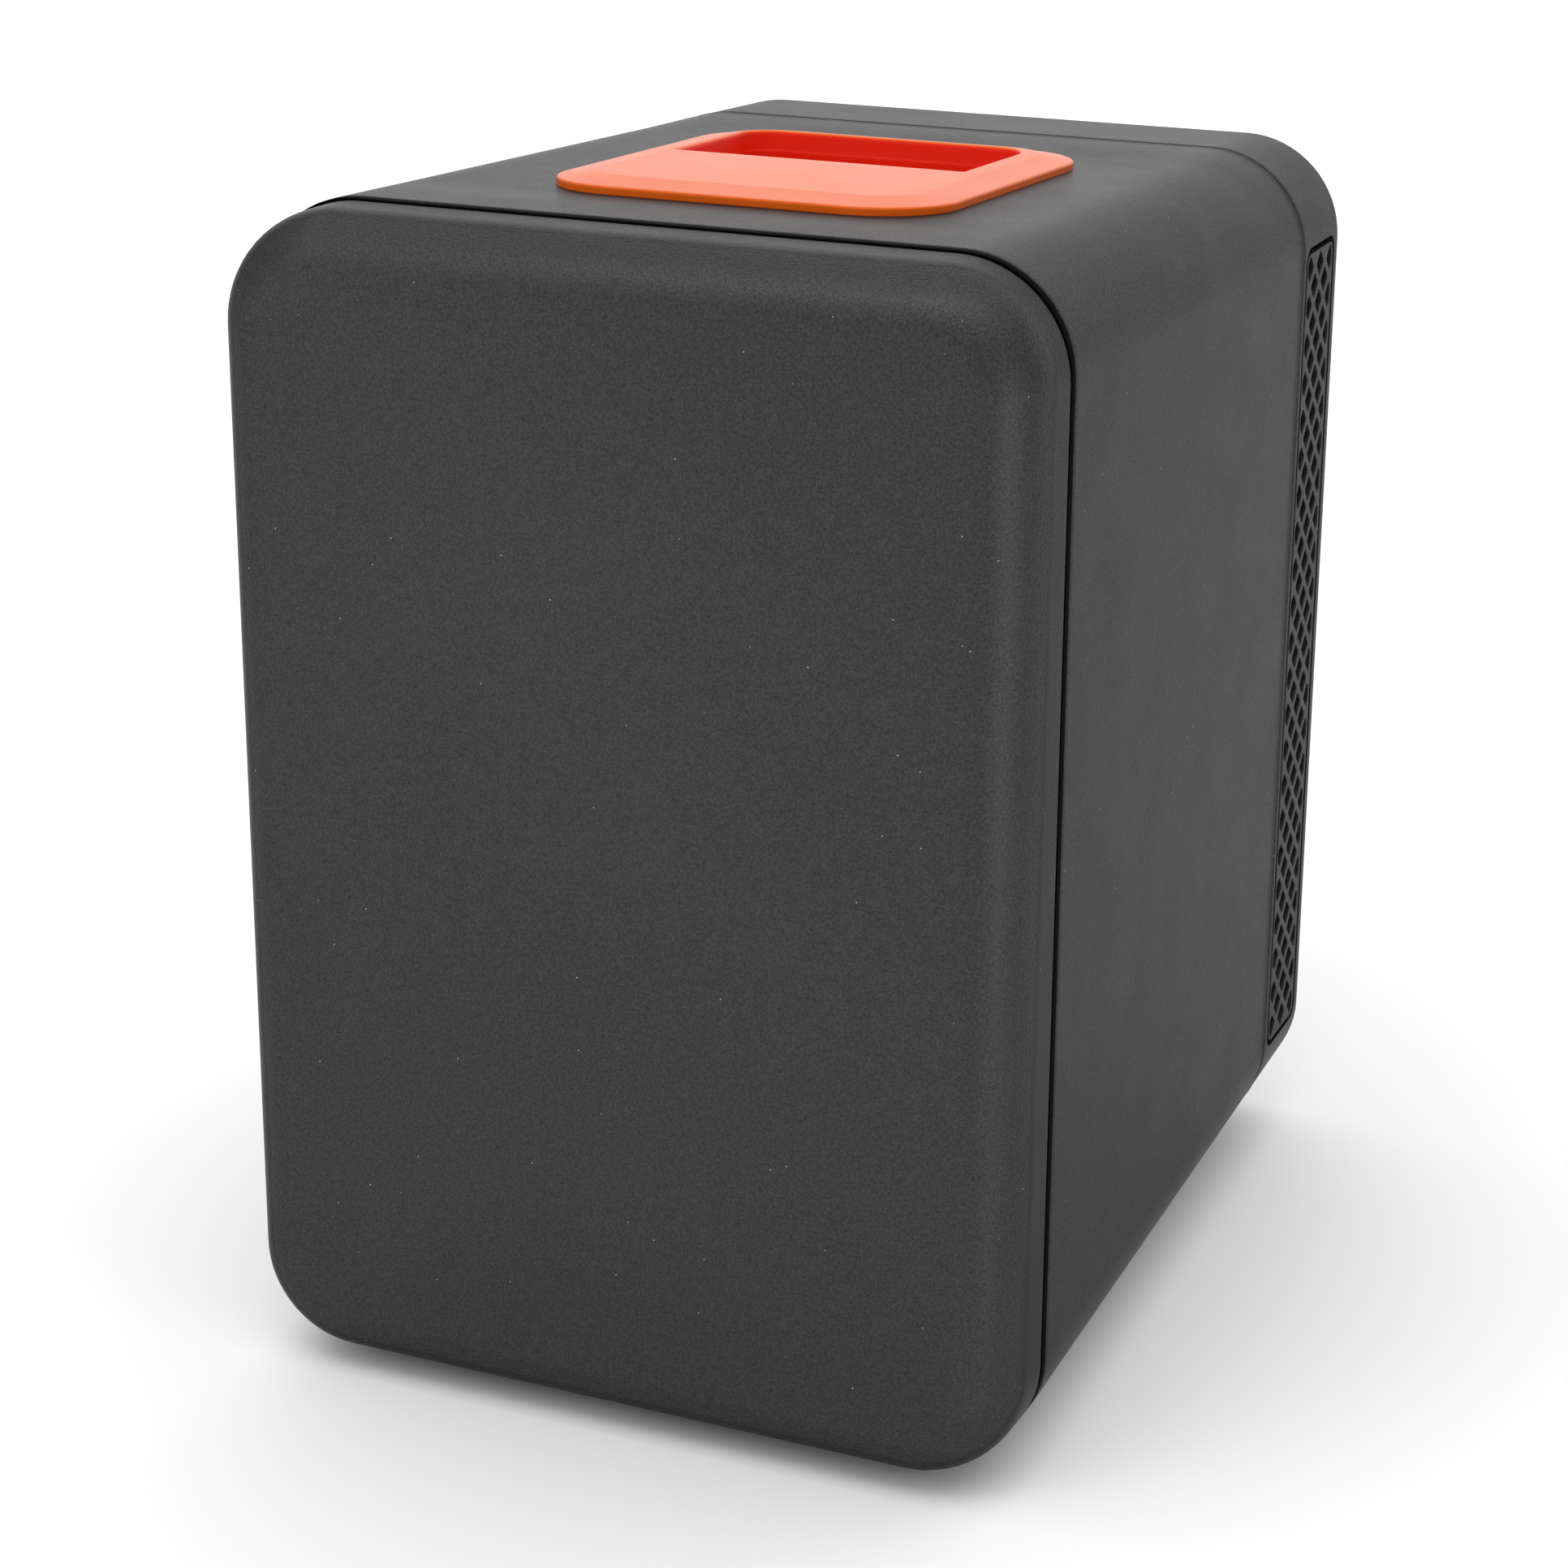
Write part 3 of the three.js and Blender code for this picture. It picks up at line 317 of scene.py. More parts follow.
def shifted(ring, amount):
    """An anticlockwise ring moved outwards along its normals."""
    made = []
    for i, (a, b) in enumerate(ring):
        before, after = ring[i - 1], ring[(i + 1) % len(ring)]
        run = Vector((after[0] - before[0], after[1] - before[1])).normalized()
        made.append((a + run.y * amount, b - run.x * amount))
    return made


def inside(point, ring):
    """Whether a point lies inside a ring, by the even-odd rule."""
    odd = False
    for (a0, b0), (a1, b1) in zip(ring, ring[1:] + ring[:1]):
        if (b0 > point.y) != (b1 > point.y) and point.x < a0 + (point.y - b0) * (a1 - a0) / (b1 - b0):
            odd = not odd
    return odd


def plate(outline, holes, thickness, bevel, place):
    """A flat plate with holes and softened edges; place turns its local point into millimetres."""
    half = thickness / 2
    section = (
        (bevel, half), (0.29 * bevel, half - 0.29 * bevel), (0, half - bevel),
        (0, bevel - half), (0.29 * bevel, 0.29 * bevel - half), (bevel, -half),
    )
    bm = bmesh.new()
    faces = {1: ([], []), -1: ([], [])}
    for ring, inward in [(outline, -1), *((hole, 1) for hole in holes)]:
        levels = []
        for draw, depth in section:
            level = [bm.verts.new(row(place(a, b, depth))) for a, b in shifted(ring, inward * draw)]
            levels.append(level)
        for upper, lower in zip(levels, levels[1:]):
            for i in range(len(ring)):
                j = (i + 1) % len(ring)
                bm.faces.new((upper[i], upper[j], lower[j], lower[i]))
        flat = shifted(ring, inward * bevel)
        for side, level in ((1, levels[0]), (-1, levels[-1])):
            faces[side][0].append(flat)
            faces[side][1].extend(level)
    for loops, verts in faces.values():
        points, edges = [], []
        for loop in loops:
            first = len(points)
            points += [Vector(p) for p in loop]
            edges += [(first + i, first + (i + 1) % len(loop)) for i in range(len(loop))]
        owner = [i for i, loop in enumerate(loops) for _ in loop]
        result = geometry.delaunay_2d_cdt(points, edges, [], 1, 1e-6)
        for triangle in result[2]:
            corners = [result[3][corner][0] for corner in triangle]
            owners = {owner[corner] for corner in corners}
            if len(owners) == 1 and 0 not in owners:
                middle = sum((points[corner] for corner in corners), Vector((0, 0))) / 3
                if inside(middle, loops[owners.pop()]):
                    continue
            bm.faces.new([verts[corner] for corner in corners])
    return bm


def circle(a, b, radius, sides=48):
    return [
        (a + radius * math.cos(2 * math.pi * i / sides), b + radius * math.sin(2 * math.pi * i / sides))
        for i in range(sides)
    ]


def prism(ring, axis, low, high):
    """A flat outline pushed along an axis: (x, z) along Y, (y, z) along X or (x, y) along Z."""
    def place(a, b, depth):
        if axis == "Y":
            return a, depth, b
        if axis == "X":
            return depth, a, b
        return a, b, depth
    return loft([[place(a, b, low) for a, b in ring], [place(a, b, high) for a, b in ring]])


def carve(bm, *cutters):
    """The first form with the others cut out of it."""
    objects = []
    for part in (bm, *cutters):
        held = bpy.data.objects.new("carve", mesh_of(part, "carve"))
        bpy.context.scene.collection.objects.link(held)
        objects.append(held)
    base = objects[0]
    for tool in objects[1:]:
        cut = base.modifiers.new("cut", "BOOLEAN")
        cut.operation = "DIFFERENCE"
        cut.solver = "EXACT"
        cut.object = tool
    bpy.context.view_layer.update()
    result = bpy.data.meshes.new_from_object(base.evaluated_get(bpy.context.evaluated_depsgraph_get()))
    made = bmesh.new()
    made.from_mesh(result)
    for held in objects:
        data = held.data
        bpy.data.objects.remove(held)
        bpy.data.meshes.remove(data)
    bpy.data.meshes.remove(result)
    return made


def piece(name, bm, body, slot, nodes=(), sharp=32):
    """Turns a form into a shaded piece that rides on a CAD body and stands for CAD nodes."""
    mesh = mesh_of(bm, name)
    mesh.shade_smooth()
    mesh.set_sharp_from_angle(angle=math.radians(sharp))
    made = bpy.data.objects.new(name, mesh)
    bpy.context.scene.collection.objects.link(made)
    mesh.materials.append(FINISH[slot])
    even = made.modifiers.new("even_normals", "WEIGHTED_NORMAL")
    even.keep_sharp = True
    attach(made, body)
    if nodes:
        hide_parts(*nodes)
    return made


# ------------------------------------------------------------------ materials

FINISH = {}  # every material by its name; each builder adds its own
DUST_SCALE = 135
DUST_COLOR = (0.45, 0.45, 0.45)
MOTTLE_SCALE = 16
GLOSS_MOTTLE_SCALE = 42
GRAIN_DEPTH = 0.0002
STREAK_SCALE = 300
STREAK_DEPTH = 0.0001


def shader(name, color, roughness, metallic=0.0, ior=1.45, specular=0.5):
    material = bpy.data.materials.new(name)
    material.use_nodes = True
    tree = material.node_tree
    main = tree.nodes["Principled BSDF"]
    main.inputs["Base Color"].default_value = (*color, 1)
    main.inputs["Roughness"].default_value = roughness
    main.inputs["Metallic"].default_value = metallic
    main.inputs["IOR"].default_value = ior
    main.inputs["Specular IOR Level"].default_value = specular
    return material, tree, main


def noise(tree, scale, detail=3.0, stretch=(1, 1, 1), roughness=0.5):
    place = tree.nodes.new("ShaderNodeTexCoord")
    mapping = tree.nodes.new("ShaderNodeMapping")
    mapping.inputs["Scale"].default_value = stretch
    tree.links.new(place.outputs["Object"], mapping.inputs["Vector"])
    texture = tree.nodes.new("ShaderNodeTexNoise")
    texture.inputs["Scale"].default_value = scale
    texture.inputs["Detail"].default_value = detail
    texture.inputs["Roughness"].default_value = roughness
    tree.links.new(mapping.outputs["Vector"], texture.inputs["Vector"])
    return texture.outputs["Fac"]


def ramp(tree, source, stops):
    node = tree.nodes.new("ShaderNodeValToRGB")
    elements = node.color_ramp.elements
    for element, (position, color) in zip(elements, (stops[0], stops[-1])):
        element.position = position
        element.color = (*color, 1)
    for position, color in stops[1:-1]:
        element = elements.new(position)
        element.color = (*color, 1)
    tree.links.new(source, node.inputs["Fac"])
    return node.outputs["Color"]


def mixed(tree, factor, a, b):
    """A colour mix whose colour sockets are found by type."""
    node = tree.nodes.new("ShaderNodeMixRGB")
    for socket, value in zip(node.inputs, (factor, a, b)):
        if isinstance(value, (float, int)):
            socket.default_value = value
        elif isinstance(value, tuple):
            socket.default_value = (*value, 1)
        else:
            tree.links.new(value, socket)
    return node.outputs["Color"]


def span(tree, source, low, high):
    node = tree.nodes.new("ShaderNodeMapRange")
    node.inputs["To Min"].default_value = low
    node.inputs["To Max"].default_value = high
    tree.links.new(source, node.inputs["Value"])
    return node.outputs["Result"]


def bump(tree, main, source, strength, distance):
    node = tree.nodes.new("ShaderNodeBump")
    node.inputs["Strength"].default_value = strength
    node.inputs["Distance"].default_value = distance
    tree.links.new(source, node.inputs["Height"])
    tree.links.new(node.outputs["Normal"], main.inputs["Normal"])


def product(tree, source, factor):
    """The product of a socket and a number or another socket."""
    node = tree.nodes.new("ShaderNodeMath")
    node.operation = "MULTIPLY"
    tree.links.new(source, node.inputs[0])
    if isinstance(factor, float):
        node.inputs[1].default_value = factor
    else:
        tree.links.new(factor, node.inputs[1])
    return node.outputs["Value"]


def dull_at_low_angles(tree, main, grain, lowest):
    """Lets the gloss fall where the surface is seen from the side, and flicker with the grain."""
    edge = tree.nodes.new("ShaderNodeLayerWeight")
    edge.inputs["Blend"].default_value = 0.5
    sheen = tree.nodes.new("ShaderNodeMapRange")
    sheen.inputs["From Min"].default_value = 0.15
    sheen.inputs["From Max"].default_value = 0.62
    sheen.inputs["To Min"].default_value = 0.5
    sheen.inputs["To Max"].default_value = lowest
    tree.links.new(edge.outputs["Facing"], sheen.inputs["Value"])
    level = product(tree, sheen.outputs["Result"], span(tree, grain, 0.5, 1.5))
    tree.links.new(level, main.inputs["Specular IOR Level"])


def dusted(tree, color, amount):
    """A colour with pale dust over it, one speck at most for each cell of a pattern."""
    place = tree.nodes.new("ShaderNodeTexCoord")
    cells = tree.nodes.new("ShaderNodeTexVoronoi")
    cells.inputs["Scale"].default_value = DUST_SCALE
    tree.links.new(place.outputs["Object"], cells.inputs["Vector"])
    specks = ramp(tree, cells.outputs["Distance"], ((0.018, (1, 1, 1)), (0.034, (0, 0, 0))))
    return mixed(tree, product(tree, specks, amount), color, DUST_COLOR)


def moulded(
    name, dark, light, roughness, grain_scale, grain,
    ior=1.45, specks=0.0, clear=0.0, grazing=0.0, grit=1.6,
):
    """Moulded plastic with a faint mottle in colour and gloss and a fine moulded grain.

    specks adds pale dust, clear lets light through, grazing dulls the gloss at low angles and
    grit is how much lighter the raised grain is."""
    material, tree, main = shader(name, dark, roughness[0], ior=ior)
    fine = noise(tree, grain_scale, 2, roughness=0.7)
    if grazing:
        dull_at_low_angles(tree, main, fine, grazing)
    mottle = noise(tree, MOTTLE_SCALE, 4, roughness=0.6)
    color = ramp(tree, mottle, ((0.35, dark), (0.68, light)))
    grained = tuple(min(1.0, grit * c) for c in light)
    color = mixed(tree, span(tree, fine, -0.25, 0.6), color, grained)
    if specks:
        color = dusted(tree, color, specks)
    tree.links.new(color, main.inputs["Base Color"])
    gloss = span(tree, noise(tree, GLOSS_MOTTLE_SCALE, 3), *roughness)
    tree.links.new(gloss, main.inputs["Roughness"])
    if clear:
        main.inputs["Transmission Weight"].default_value = clear
    bump(tree, main, fine, grain, GRAIN_DEPTH)
    FINISH[name] = material


def metal(name, color, roughness, stretch):
    """Drawn or extruded metal with its streaks along one direction."""
    material, tree, main = shader(name, color, roughness, metallic=1.0)
    streak = noise(tree, STREAK_SCALE, 3, stretch=stretch)
    lighter = tuple(min(1.0, 1.12 * c) for c in color)
    darker = tuple(0.82 * c for c in color)
    tree.links.new(ramp(tree, streak, ((0.3, darker), (0.7, lighter))), main.inputs["Base Color"])
    tree.links.new(span(tree, streak, roughness - 0.08, roughness + 0.12), main.inputs["Roughness"])
    bump(tree, main, streak, 0.15, STREAK_DEPTH)
    FINISH[name] = material


moulded(
    "charcoal_plastic", (0.0042, 0.0042, 0.0043), (0.0062, 0.0062, 0.0064), (0.31, 0.39), 1500, 0.95,
    grazing=0.045, specks=0.8, grit=8.0,
)
moulded(
    "black_plastic", (0.0008, 0.0008, 0.0009), (0.0014, 0.0014, 0.0015), (0.6, 0.75), 1800, 0.12,
    ior=1.06,
)
moulded("orange_plastic", (0.54, 0.08, 0.002), (0.58, 0.089, 0.003), (0.28, 0.36), 2200, 0.05, ior=1.22)
# A darker, redder copy of the orange: painted shade for the inside of the finger pocket.
moulded("orange_pocket_painted_shade", (0.6, 0.01, 0.0004), (0.65, 0.013, 0.0005), (0.4, 0.5), 2200, 0.05, ior=1.22)
moulded("pale_plastic", (0.60, 0.62, 0.63), (0.66, 0.67, 0.68), (0.28, 0.40), 1500, 0.05)
moulded("clear_plastic", (0.80, 0.86, 0.88), (0.84, 0.89, 0.91), (0.04, 0.10), 600, 0.02, clear=0.82)
moulded("foam", (0.70, 0.60, 0.32), (0.78, 0.69, 0.40), (0.85, 0.95), 700, 0.6)
moulded("rubber", (0.012, 0.012, 0.013), (0.018, 0.018, 0.019), (0.62, 0.78), 1400, 0.2)
metal("aluminium", (0.72, 0.73, 0.74), 0.36, (1, 1, 0.05))
metal("steel", (0.55, 0.56, 0.57), 0.30, (0.2, 1, 1))
moulded("ceramic", (0.80, 0.79, 0.75), (0.86, 0.85, 0.82), (0.55, 0.7), 2400, 0.1)
moulded("circuit_board", (0.015, 0.10, 0.04), (0.02, 0.13, 0.055), (0.3, 0.45), 500, 0.1)
moulded("green_lens", (0.08, 0.50, 0.17), (0.11, 0.58, 0.22), (0.10, 0.18), 900, 0.02)
moulded("red_lens", (0.55, 0.04, 0.025), (0.63, 0.06, 0.03), (0.10, 0.18), 900, 0.02)

for part in frame["record"]["subparts"]:
    held = frame["nodes"][part["node"]]
    held.data.materials.clear()
    held.data.materials.append(FINISH[part["material_slot"]])

# ------------------------------------------------------------------ door


def door_form(y, inset):
    """The door's outline, set a little low and to the right, so that the frame shows round it."""
    left, top = -WIDTH / 2 + DOOR_DROP_LEFT + inset, HEIGHT - DOOR_DROP_TOP - inset
    radius = max(CORNER_RADIUS - inset, 2)
    ring = rounded(left, WIDTH / 2 - inset, inset, top, (radius, radius + 1, radius, radius))
    return [(x, y, z) for x, z in ring]


def door_rings(inset, steps=14):
    """The door's outer form from the middle of its face back to where its sides begin."""
    rings = [door_form(DOOR_FRONT + inset, DOOR_FILLET_WIDTH + inset + extra) for extra in (9, 2, 0.4)]
    for step in range(steps, -1, -1):
        angle = (step / steps) * math.pi / 2
        depth = (DOOR_FILLET_DEPTH - inset) * math.sin(angle)
        draw = DOOR_FILLET_WIDTH * (1 - math.cos(angle))
        rings.append(door_form(DOOR_FRONT + DOOR_FILLET_DEPTH - depth, inset + draw))
    return rings


def hinge_boxes(x0, x1, y0, y1, margin=3.0):
    return [
        bar(x0, x1, y0, y1, z - margin, z + 2 * KNUCKLE_LENGTH + margin - 0.6, bevel=0)
        for z in HINGE_HEIGHTS
    ]


def door_shell():
    inner = door_rings(WALL, 6)
    edge = ((1.2, WALL), (0, WALL), (0, 0.75), (0.12, 0.38), (0.38, 0.12), (0.75, 0), (1.6, 0))
    rim = [door_form(DOOR_BACK - ahead, inset) for ahead, inset in edge]
    outer = door_rings(0)[::-1]
    shell = loft(inner + rim + [door_form(-14, 0)] + outer)
    notches = [
        lathe(
            (HINGE_X, HINGE_Y, z - 2.6), "Z",
            ((KNUCKLE_RADIUS + 0.4, 0), (KNUCKLE_RADIUS + 0.4, 2 * KNUCKLE_LENGTH + 4.6)), 40,
        )
        for z in HINGE_HEIGHTS
    ]
    return carve(shell, *notches)


piece("door_shell", door_shell(), "door", "charcoal_plastic", ["door_outer_shell"])


def plug(y, inset):
    """The outline of the raised middle of the door's liner."""
    ring = rounded(
        -PLUG_HALF_WIDTH + inset, PLUG_HALF_WIDTH - inset, PLUG_FLOOR + inset, PLUG_TOP - inset,
        (max(PLUG_RADIUS - inset, 1.5),) * 4,
    )
    return [(x, y, z) for x, z in ring]


def door_liner():
    front = DOOR_LINER_BACK - 2
    fillet = 4
    edge = WALL + GAP + DOOR_DROP_LEFT
    rings = [
        casing(front, edge + 3),
        casing(front, edge),
        casing(DOOR_LINER_BACK - 0.5, edge),
        casing(DOOR_LINER_BACK, edge + 0.5),
        casing(DOOR_LINER_BACK, 17.5),
        plug(DOOR_LINER_BACK, -1.6),
        plug(DOOR_LINER_BACK + 0.4, -0.7),
        plug(DOOR_LINER_BACK + 1.3, 0),
    ]
    for step in range(7):
        angle = (step / 6) * math.pi / 2
        depth = PLUG_BACK - fillet + fillet * math.sin(angle)
        rings.append(plug(depth, fillet * (1 - math.cos(angle))))
    rings += [
        plug(PLUG_BACK, 5), plug(PLUG_BACK, 14), plug(PLUG_BACK - 1.2, 16), plug(PLUG_BACK - 1.2, 19),
    ]
    body = carve(loft(rings), *hinge_boxes(-119, -111.6, -30, 0))
    extras = []
    for _, z, _ in RACKS:
        for side in (-1, 1):
            root, tip = PLUG_BACK - 2, PLUG_BACK + 4.6
            extras += [
                side_bar(side, 52, 68, root, PLUG_BACK + 8, z - 4.3, z - GAP, 0.8),
                side_bar(side, 83.2, 86, root, tip, z + 4, z + 34, 0.7),
                side_bar(side, 80, 86, PLUG_BACK + 2.9, tip, z + 4, z + 34, 0.6),
            ]
    return joined(body, *extras)


piece("door_liner", door_liner(), "door", "pale_plastic", ["door_inner_liner"])


def gasket():
    """A bellows seal: a root in the liner's groove, a fold and a soft magnetic bulb."""
    path = (
        (-6.0, 9.3), (-5.0, 9.0), (-4.6, 9.4), (-4.4, 10.3), (-4.1, 10.7), (-3.8, 10.5), (-3.5, 9.6),
        (-3.1, 9.1), (-2.6, 9.0), (-2.2, 9.5), (-2.1, 10.4), (-2.1, 14.0), (-2.25, 15.0), (-2.7, 15.45),
        (-3.2, 15.3), (-3.6, 14.6), (-4.0, 14.2), (-4.4, 14.5), (-4.8, 15.2), (-5.3, 15.5), (-6.0, 15.3),
    )
    return loft([casing(y, inset) for y, inset in path], closed=True)


piece("door_seal", gasket(), "door", "rubber", ["door_gasket"], sharp=60)


def rack(z, height):
    """A door rack: a tray with a rolled rim, a slotted front and two ears."""
    y0 = PLUG_BACK + GAP
    y1 = y0 + RACK_REACH
    half = RACK_HALF_WIDTH

    def ring(inset, level):
        outline = rounded(
            -half + inset, half - inset, y0 + inset, y1 - inset, (max(6 - inset, 1.5),) * 4, 10,
        )
        return [(x, y, level) for x, y in outline]

    top = z + height
    rings = [
        ring(6, z), ring(1.6, z), ring(0.5, z + 0.5), ring(0, z + 1.6), ring(0.25, top - 4.2),
        ring(0, top - 3.6), ring(0, top - 0.7), ring(0.3, top - 0.2), ring(0.8, top), ring(1.5, top - 0.2),
        ring(1.8, top - 0.7), ring(2, top - 4),
        ring(2, z + 4), ring(2.6, z + 2.6), ring(4, z + 2), ring(9, z + 2),
    ]
    slots = []
    for i in range(-2, 3):
        outline = rounded(i * 27 - 10, i * 27 + 10, z + 10, top - 12, (2.5,) * 4, 6)
        slots.append(prism(outline, "Y", y1 - 3.2, y1 + 1))
    tray = carve(loft(rings), *slots)
    ears = [side_bar(side, 77, 82.4, y0, y0 + 2, z + 3, z + 36, 0.5) for side in (-1, 1)]
    return joined(tray, *ears)


for level, low, height in RACKS:
    piece("rack_" + level, rack(low, height), level + "_rack", "clear_plastic", ["door_rack_" + level])

# ------------------------------------------------------------------ casing


def share(value, start, end):
    """How far a value has come from start to end, held between 0 and 1."""
    return min(max((value - start) / (end - start), 0), 1)


def roof_sink(points):
    """The roof is drawn down a little round the handle, as a moulded panel is."""
    made = []
    for x, y, z in points:
        roof = HEIGHT - DRAFT * max(y, 0)
        if z > roof - 4:
            across = share(abs(x), *SINK_ACROSS)
            along = share(y, *SINK_FRONT) * share(y, *SINK_BACK)
            weight = across * across * (3 - 2 * across) * along * along * (3 - 2 * along)
            z -= ROOF_SINK * weight
        made.append((x, y, z))
    return made


def front_relief(points):
    """The left front edge leans back, which lets the open door's side swing past it."""
    made = []
    for x, y, z in points:
        if x < RELIEF_X:
            y = max(y, RELIEF_Y + RELIEF_SLOPE * (RELIEF_X - x))
        made.append((x, y, z))
    return made


def body_shell():
    outer = []
    for depth, inset in ((0, 0.7), (0.1, 0.33), (0.33, 0.1), (0.7, 0), (1.6, 0)):
        outer.append(front_relief(casing(depth, inset, edge=EDGE_STEPS)))
    for depth in (6, 14, 20, 26, 32, 40, 60, 85, 110, 135, 160, 184, 191, 198, 205, 212, 218, 220.4):
        outer.append(roof_sink(casing(depth, 0, edge=EDGE_STEPS)))
    for depth, inset in ((220.9, -0.12), (221.5, -0.12), (222.0, 0.15), (SHELL_BACK, 0.6)):
        outer.append(casing(depth, inset, edge=EDGE_STEPS))
    inner = [casing(depth, WALL + 0.9, edge=EDGE_STEPS) for depth in (SHELL_BACK, 110, 4)]
    inner += [casing(1.5, WALL, edge=EDGE_STEPS), front_relief(casing(0, WALL, edge=EDGE_STEPS))]
    tube = loft(outer + inner, closed=True)
    hole = rounded(-51.8, 46.8, 84.8, 173.2, (14,) * 4, 8)
    return carve(tube, prism(hole, "Z", HEIGHT - 16, HEIGHT + 4))


piece("body_shell", body_shell(), "cabinet", "charcoal_plastic", ["outer_shell"])


def frame_band():
    """The black frame that the door closes on, with a stepped seat for the seal."""
    face = (
        (-GAP, 0.35), (-0.6, 0.05), (-0.9, 0), (-3.0, 0), (-3.35, 0.08), (FRAME_FRONT, 0.4),
        (FRAME_FRONT, 6.2), (-3.5, 6.7), (-3.1, 7), (-2.2, 7), (-1.9, 7.2), (FRAME_SEAT, 7.6),
        (FRAME_SEAT, 16.5),
    )
    mouth = ((FRAME_SEAT, 3.0), (-1.5, 2.5), (-1.0, 2.3), (-GAP, 2.3))
    spigot = ((-GAP, 5.3), (8, 5.3), (8, 2.8), (-GAP, 2.8))
    rings = [casing(*level) for level in face]
    rings += [cavity(*level) for level in mouth]
    rings += [casing(*level) for level in spigot]
    side = bar(-121, -112.3, -5, -0.28, -1, HEIGHT + 1, 0)
    ring = carve(loft(rings, closed=True), side, *hinge_boxes(-118.5, -113.8, -5, 9, 1.0))
    web = joined(
        bar(-117, -108, 0.6, 2.2, 32, HEIGHT - 32, 0.3),
        bar(-112.3, -108, -1, 2.2, 32, HEIGHT - 32, 0.3),
    )
    web = carve(web, *hinge_boxes(-118.5, -113.8, -5, 9, 1.0))
    return joined(ring, web)


piece("frame_band", frame_band(), "cabinet", "black_plastic", ["front_frame"])


def liner():
    rings = [cavity(FRAME_SEAT + 0.8, 2), cavity(FRAME_SEAT + 0.2, 1.8), cavity(FRAME_SEAT, 1.3)]
    rings += [cavity(FRAME_SEAT + 0.3, 0.4), cavity(FRAME_SEAT + 1.2, 0), cavity(8, 0)]
    fillet = 10
    for step in range(9):
        angle = (step / 8) * math.pi / 2
        draw = fillet * (1 - math.cos(angle))
        rings.append(cavity(CAVITY_BACK - fillet + fillet * math.sin(angle), -draw))
    rings.append(cavity(CAVITY_BACK, -fillet - 1))
    outside = [cavity(CAVITY_BACK + 2, -4), cavity(CAVITY_BACK + 2, 2), cavity(60, 2)]
    whole = loft(outside + rings)
    half = COLD_WINDOW_HALF
    window = bar(-half, half, CAVITY_BACK - 2, CAVITY_BACK + 5, COOLER_Z - half, COOLER_Z + half, 0)
    whole = carve(whole, window)
    rails = []
    for z in RAIL_HEIGHTS:
        for side in (-1, 1):
            near, far = CAVITY_HALF_WIDTH - 3, CAVITY_HALF_WIDTH + 0.8
            rails.append(side_bar(side, near, far, 30, CAVITY_BACK - 8, z - 3, z, 1.0, 4))
    return joined(whole, *rails)


piece("cavity_liner", liner(), "cabinet", "pale_plastic", ["inner_liner"])


def shelf():
    z = RAIL_HEIGHTS[1] + GAP
    half = CAVITY_HALF_WIDTH - 1
    pitch, border = 25, 10
    holes = [
        rounded(i * pitch - 7, i * pitch + 7, SHELF_FRONT + border, SHELF_BACK - border, (3,) * 4, 6)
        for i in range(-3, 4)
    ]
    outline = rounded(-half, half, SHELF_FRONT, SHELF_BACK, (3,) * 4, 6)
    middle = z + SHELF_THICKNESS / 2
    deck = plate(outline, holes, SHELF_THICKNESS, 0.5, lambda a, b, c: (a, b, middle + c))
    front = bar(-half, half, SHELF_FRONT, SHELF_FRONT + 2.5, z + 0.4, z + SHELF_LIP, 0.9, 4)
    back = bar(-half, half, SHELF_BACK - 2, SHELF_BACK, z + 0.4, z + SHELF_LIP, 0.7, 4)
    return joined(deck, front, back)


piece("shelf_deck", shelf(), "pull_shelf", "clear_plastic", ["shelf"])

# ------------------------------------------------------------------ handle

# Left, right, front and back of each outline, then the radii of its front and back corners.
HANDLE_OUTLINE = (-60.3, 60.3, 42.5, 178.7, 24, 24)
HANDLE_CREST = (-50.6, 48.6, 56.8, 171.6, 15, 14)
HANDLE_MOUTH = (-49.8, 44.6, 113.2, 170.4, 2.2, 12)
HANDLE_TUB = (-51.2, 46.2, 85.8, 172.2, 14, 14)
# Where the pocket's painted shade begins: inside the mouth, under its lip, or on the deep floor.
MOUTH_CENTRE = -2.6
MOUTH_REACH = 46.2
MOUTH_NEAR = 85
MOUTH_FAR = 171
LIP_LEVEL = 2.1
POCKET_DEPTH = 4


def on_roof(x, along, above):
    """A point on the leaning roof: across, along the slope and above it."""
    y = along * math.cos(ROOF_LEAN) + above * math.sin(ROOF_LEAN)
    z = HEIGHT - along * math.sin(ROOF_LEAN) + above * math.cos(ROOF_LEAN)
    return x, y, z


def handle_ring(form, inset, above, front_inset=None):
    """A rounded outline of the handle, drawn in by inset; the front edge can have its own inset."""
    left, right, near, far, near_radius, far_radius = form
    near_inset = inset if front_inset is None else front_inset
    back_radius = max(far_radius - inset, 1)
    front_radius = max(near_radius - inset, 0.6)
    outline = rounded(
        left + inset, right - inset, near + near_inset, far - inset,
        (back_radius, back_radius, front_radius, front_radius), 14, edge=8,
    )
    return [on_roof(x, along, above) for x, along in outline]


